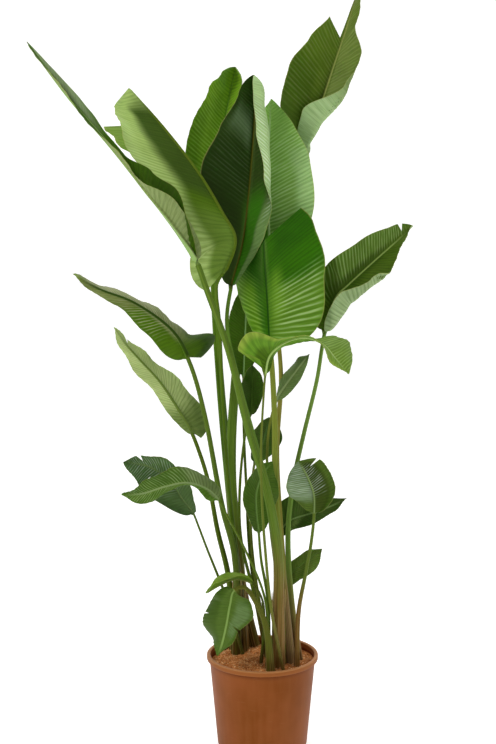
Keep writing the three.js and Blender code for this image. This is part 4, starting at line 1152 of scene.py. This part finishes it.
# A patch or glint is its colour, its strength, from and to across the blade (-1 is the left margin and 1 the
# right one), and from and to along it. Contrast is how strongly the side veins show. Aged is where on the
# stalk the colour of its foot begins, on the way down, and where it is full.
# Some patches are painted light, sheen or shade, the others tones of the leaf's own; glints are painted
# highlights.
DETAILS = {
    "far_left": dict(
        contrast=0.5, aged=(-0.45, -0.72),
        patches=[
            ("#a9b594", 0.6, 0.2, 1.2, 0.6, 1.1), ("#2e460f", 0.7, 0.45, 1.2, 0.05, 0.35),
            ("#8c9a6c", 0.5, -1.2, -0.1, -0.1, 0.3),
        ],
    ),
    # a rolled blade: painted shade on the dark side of the roll, painted light where the rear half is lit
    # through
    "left_folded": dict(
        contrast=0.5,
        patches=[
            ("#344c04", 0.95, -0.6, 0.46, 0.27, 0.9), ("#557618", 0.8, -0.2, 0.5, -0.1, 0.36),
            ("#b0c87c", 0.8, 0.74, 1.2, 0.2, 0.75),
        ],
        glints=[("#c4d894", 0.3, 0.55, 1.0, 0.0, 0.5)],
    ),
    # a painted highlight on the left half's tip
    "upright_left": dict(
        aged=(-0.4, -0.62),
        patches=[("#8fb858", 0.6, -1.2, -0.3, 0.82, 1.1), ("#557c14", 0.6, -1.2, -0.62, 0.1, 0.6)],
        glints=[("#9cc060", 0.4, -0.9, 0.0, 0.3, 0.8)],
    ),
    # painted light where the right half and its rolled flap are lit through, and a painted sheen near the
    # top
    "centre_dark": dict(
        contrast=0.35, aged=(-0.42, -0.64),
        patches=[
            ("#346f08", 0.9, 0.0, 0.5, -0.1, 0.42), ("#76965a", 0.8, 0.5, 1.2, -0.1, 0.35),
            ("#6c8460", 0.65, -0.85, -0.1, 0.66, 0.78), ("#1c3000", 0.6, -1.2, -0.1, 0.0, 0.6),
        ],
        glints=[("#e4f0d8", 0.6, 0.7, 1.0, 0.3, 0.8), ("#5e6c50", 0.2, -0.9, 0.0, 0.4, 0.9)],
    ),
    # painted light along the left margin, where the blade is lit through
    "centre_back": dict(
        contrast=0.6,
        patches=[("#b0cf94", 0.6, -1.2, -0.6, 0.1, 0.6), ("#84a85a", 0.5, -0.6, 0.2, 0.1, 0.45)],
        glints=[("#bcd8a0", 0.4, -1.2, 0.3, 0.1, 0.75)],
    ),
    "top_right": dict(
        contrast=0.3,
        patches=[
            ("#8a9068", 0.7, -1.2, 1.2, 0.9, 1.1), ("#3a5212", 0.6, -1.2, -0.3, 0.1, 0.42),
            ("#68783a", 0.7, 0.0, 1.2, 0.3, 0.85),
        ],
        glints=[("#a4ac78", 0.12, -1.0, 1.0, 0.2, 0.9)],
    ),
    # painted light where the lower blade is lit through, and a painted shadow of the dark leaf on the left
    # half
    "centre_front": dict(
        aged=(-0.44, -0.68),
        patches=[
            ("#6c9a28", 0.8, -1.2, -0.3, -0.1, 0.32), ("#78a03c", 0.75, 0.05, 1.2, -0.1, 0.27),
            ("#85b43c", 0.6, 0.04, 0.22, 0.1, 0.4), ("#245004", 0.7, -0.4, 0.0, 0.34, 0.9),
            ("#2a5c06", 0.6, 0.2, 1.2, 0.48, 1.1),
        ],
        glints=[("#bcd694", 0.6, 0.15, 0.95, 0.0, 0.3), ("#b0d070", 0.3, -0.9, -0.2, 0.05, 0.35)],
    ),
    "right": dict(
        patches=[("#68863e", 0.6, -1.2, -0.3, 0.3, 0.9), ("#324a10", 0.6, -0.3, 0.2, 0.3, 0.7)],
        glints=[("#b4c88c", 0.3, -1.0, -0.2, 0.2, 0.9)],
    ),
    "front_drooping": dict(
        patches=[("#45620c", 0.85, -1.2, 0.4, -0.1, 0.16), ("#98ac48", 0.8, 0.8, 1.2, 0.0, 1.1)],
        glints=[("#c4dc88", 0.25, -1.0, 1.0, 0.4, 1.0)],
    ),
    # the beige-grey on the left half is a painted sheen
    "mid_left": dict(
        contrast=0.4,
        patches=[
            ("#8a8f64", 0.9, -1.2, 0.12, 0.12, 0.92), ("#787e4c", 0.7, 0.12, 1.2, 0.45, 0.92),
            ("#93a650", 0.7, -1.2, 1.2, 0.93, 1.1), ("#304c04", 0.6, -1.2, -0.5, -0.1, 0.12),
        ],
        glints=[("#b4b48c", 0.4, -0.9, 0.9, 0.2, 0.9)],
    ),
    "lower_left": dict(patches=[("#5e7434", 0.8, -1.2, 1.2, -0.1, 0.17)]),
    "low_left_front": dict(
        patches=[("#828e62", 0.6, -0.3, 1.2, -0.1, 0.3)],
        glints=[("#a4bc80", 0.35, -0.9, 0.9, 0.2, 0.9)],
    ),
    "low_left_back": dict(contrast=0.5, glints=[("#c4d0c0", 0.3, -0.9, 0.9, 0.3, 0.9)]),
    "low_right_torn": dict(
        aged=(-0.2, -0.5),
        patches=[("#8aa080", 0.7, -1.2, -0.05, 0.2, 1.1), ("#344018", 0.8, 0.0, 0.7, 0.0, 0.9)],
        glints=[("#dce6dc", 0.35, -0.9, 0.5, 0.3, 0.9)],
    ),
    "base_curled": dict(contrast=0.3),
    # a painted sheen on the left half
    "base_front": dict(
        contrast=0.25,
        patches=[
            ("#86a078", 0.3, -0.8, -0.25, 0.15, 0.6), ("#385018", 0.6, 0.35, 1.2, 0.0, 0.8),
            ("#3f581e", 0.5, -1.2, -0.75, 0.2, 1.0),
        ],
    ),
}


# %% Leaf finish
LONG_BLADE = 650 * MM
VEIN_SPACING = 11 * MM
VEIN_HEIGHT = 0.5 * MM
RIB_EDGE = (3.2 * MM, 1.2 * MM)  # from the midrib's line, where its colour starts and is full
USUAL_CONTRAST = 0.7
USUAL_AGE = (-0.5, -0.78)
SOFT_ACROSS = 0.12
SOFT_ALONG = 0.07
LEAF_SHEEN = (0.8, 1.0, 0.3, 1.0)


def in_window(value, low, high, soft):
    return value.ramp(low - soft, low + soft) * value.ramp(high + soft, high - soft)


def leaf_finish(name, spacing):
    upper_colour, under_colour, rib_colour, neck_colour, foot_colour = LOOKS[name]
    details = DETAILS.get(name, {})
    contrast = details.get("contrast", USUAL_CONTRAST)
    green = Finish("leaf_" + name)
    run, reach, place, upper, stalk, rib = green.attributes(
        "run", "reach", "place", "upper", "stalk", "rib_distance"
    )
    veins = green.streaks(run * 190.0, reach * 1.5, upper * 7.0)
    fine_veins = green.streaks(run * 620.0, reach * 2.0, upper * 3.0)
    wander = green.streaks(run * 30.0, reach * 1.5, upper * 9.0, 1.0)
    even_veins = (run * (2 * math.pi / spacing) + wander * 5.0).sine() * 0.5 + 0.5
    veins = veins * 0.6 + even_veins * 0.4
    broad = green.streaks(run * 7.0, reach * 1.1, upper * 5.0)
    clouds = green.noise(green.place(), 14.0, 3.0)
    across = reach + (broad - 0.5) * 0.3
    along_blade = place + (broad - 0.5) * 0.12

    def painted(blade, places, share):
        """The blade's colour with its lighter or darker places laid on: painted light and shade, and tones
        of its own.
        """
        for colour, strength, left, right, low, high in places:
            mask = in_window(across, left, right, SOFT_ACROSS)
            mask = mask * in_window(along_blade, low, high, SOFT_ALONG)
            blade = green.blend(mask * strength * share, blade, colour)
        return blade

    blade = green.blend(upper, under_colour, upper_colour)
    # patches: painted light, sheen and shade on some leaves, and tones of their own
    blade = painted(blade, details.get("patches", ()), 1.0)
    blade = green.layers(
        blade,
        (veins.ramp(0.6, 0.25) * (0.6 * contrast), "#94a67c"),
        (fine_veins.ramp(0.6, 0.35) * 0.35, "#a8ba90"),
        (clouds.ramp(0.5, 0.8) * 0.3, "#90a66e"),
        how="MULTIPLY",
    )
    # glints: painted highlights along the side veins
    blade = painted(blade, details.get("glints", ()), veins.ramp(0.5, 0.78))
    on_rib = rib.ramp(*RIB_EDGE) * place.ramp(1.0, 0.75)
    # the midrib's colour, and a thin pale line of painted highlight along the margin
    blade = green.layers(blade, (on_rib, rib_colour), (reach.size().ramp(0.975, 0.998) * 0.5, "#a9a860"))

    strands = green.streaks(reach * 26.0, run * 5.0, 0.0, 3.0)
    dry_strands = green.streaks(reach * 17.0, run * 3.0, 4.0)
    age = (place + strands * 0.3).ramp(*details.get("aged", USUAL_AGE))
    stem = green.layers(neck_colour, (age, foot_colour), (strands.ramp(0.35, 0.75) * 0.25, "#a3a856"))
    stem = green.blend(strands.ramp(0.5, 0.3) * 0.35, stem, "#7a8a5a", "MULTIPLY")
    stem = green.layers(
        stem,
        (dry_strands.ramp(0.52, 0.6) * age * 0.55, "#b08c62"),
        (dry_strands.ramp(0.47, 0.37) * age * 0.8, "#4e3026"),
        (clouds.ramp(0.55, 0.75) * age * 0.5, "#6a4626"),
    )
    rough = 0.46 - upper * 0.14 + veins * 0.12 + stalk * 0.1 + clouds * 0.06
    green.set(Base_Color=green.blend(stalk, blade, stem), Roughness=rough)
    green.set(Specular_IOR_Level=0.32, Specular_Tint=LEAF_SHEEN)
    green.set(Subsurface_Weight=0.1, Subsurface_Radius=(0.4, 1.0, 0.1), Subsurface_Scale=3 * MM)
    height = (veins * contrast + fine_veins * 0.5) * (1 - stalk) + strands * 0.4 * stalk
    green.relief(height, 0.9 * MM, 0.7)
    return green.material


# %% Grow the leaves
DARK = ("centre_dark", "inner_dark", "inner_middle", "inner_back", "top_right", "right")
LIGHT = (
    "centre_back", "front_drooping", "mid_left", "lower_left", "left_folded", "inner_right", "base_curled",
)
SLOT_OF = dict.fromkeys(DARK, "leaf_dark") | dict.fromkeys(LIGHT, "leaf_light")
vein_tree = side_veins()
for name, leaf in LEAVES.items():
    spine = Spine(leaf)
    piece = leaf_piece(name, leaf, spine)
    share = math.sqrt(spine.blade_length / LONG_BLADE)
    spacing = VEIN_SPACING * share
    finish = leaf_finish(name, spacing)
    vein_tree.run(piece, Finish=finish, Vein_spacing=spacing, Vein_height=VEIN_HEIGHT * share)
    keep_piece(piece, "leaf_" + name)

# %% [markdown]
# ## Old sheaths
# Where an old leaf was cut away, the foot of its stalk stays as a dry papery sheath round a younger stalk,
# torn at its top. It is a thin shell just off that stalk, between two angles round it.

# %% Sheath sizes
SHEATH_THICKNESS = 1.6 * MM
SHEATH_GAP = 0.5 * MM
SHEATH_BOTTOM = -0.985
SHEATH_ROWS = 40
SHEATH_COLUMNS = 48
SHEATH_FLARE = 2.5 * MM
SHEATH_WRINKLE = 0.35 * MM
LONG_TEETH, SMALL_TEETH = 15.7, 47  # radians round the sheath, with a tooth in every half turn
SHEATHS = {
    "front": dict(on="far_left", top=-0.78, arc=(200, 400), torn=0.05),
    "back": dict(on="inner_middle", top=-0.68, arc=(180, 380), torn=0.04),
    "left": dict(on="mid_left", top=-0.7, arc=(20, 230), torn=0.05),
}


# %% Sheath shells
def sheath_piece(name, on, top, arc, torn):
    leaf = LEAVES[on]
    spine = Spine(leaf)
    share = np.linspace(0, 1, SHEATH_COLUMNS + 1)
    jagged = np.abs(np.sin(LONG_TEETH * share + 0.4)) ** 3 + 0.25 * np.abs(np.sin(SMALL_TEETH * share))
    angles = np.radians(mix(*arc, share))[:, None]
    rows = np.linspace(0, 1, SHEATH_ROWS + 1)
    rings = []
    for row in rows:
        s = mix(SHEATH_BOTTOM, top - torn * jagged, row)
        flare = SHEATH_FLARE * row**4 * (0.5 + 0.5 * np.sin(9 * share))
        wrinkle = SHEATH_WRINKLE * np.sin(31 * share + 3 * np.sin(5 * row))
        inner = SHEATH_GAP + flare
        outer = SHEATH_GAP + SHEATH_THICKNESS * mix(1, 0.4, row) + flare + wrinkle
        outside, inside = (stalk_skin(leaf, spine, s, angles, v[:, None])[:, 0] for v in (outer, inner))
        rings.append(np.concatenate([outside[::-1], inside]))
    points = np.array(rings)
    strand = np.tile([*share[::-1], *share], len(rows))
    return skin_piece(name, points, {"strand": strand, "height": np.repeat(rows, points.shape[1])})


# %% Dry sheath finish
def sheath_finish():
    dry = Finish("dry_sheath")
    strand, height = dry.attributes("strand", "height")
    fibres = dry.streaks(strand * 46.0, height * 2.5, 0.0, 3.0)
    blotches = dry.noise(dry.place(), 60.0, 3.0)
    base = dry.layers(
        dry.blend(fibres.ramp(0.35, 0.65), "#5a4420", "#8f8440"),
        (blotches.ramp(0.4, 0.65) * 0.6, "#66782a"),
        (height.ramp(0.7, 0.95) * 0.75, "#c4ac6c"),
    )
    dry.set(Base_Color=base, Roughness=0.75, Specular_IOR_Level=0.3)
    dry.relief(fibres, 0.8 * MM, 0.8)
    return dry.material


dry_finish = sheath_finish()
for name, sheath in SHEATHS.items():
    piece = sheath_piece("dry_old_sheath_" + name, **sheath)
    piece.data.materials.append(dry_finish)
    keep_piece(piece, "old_sheath_" + name)
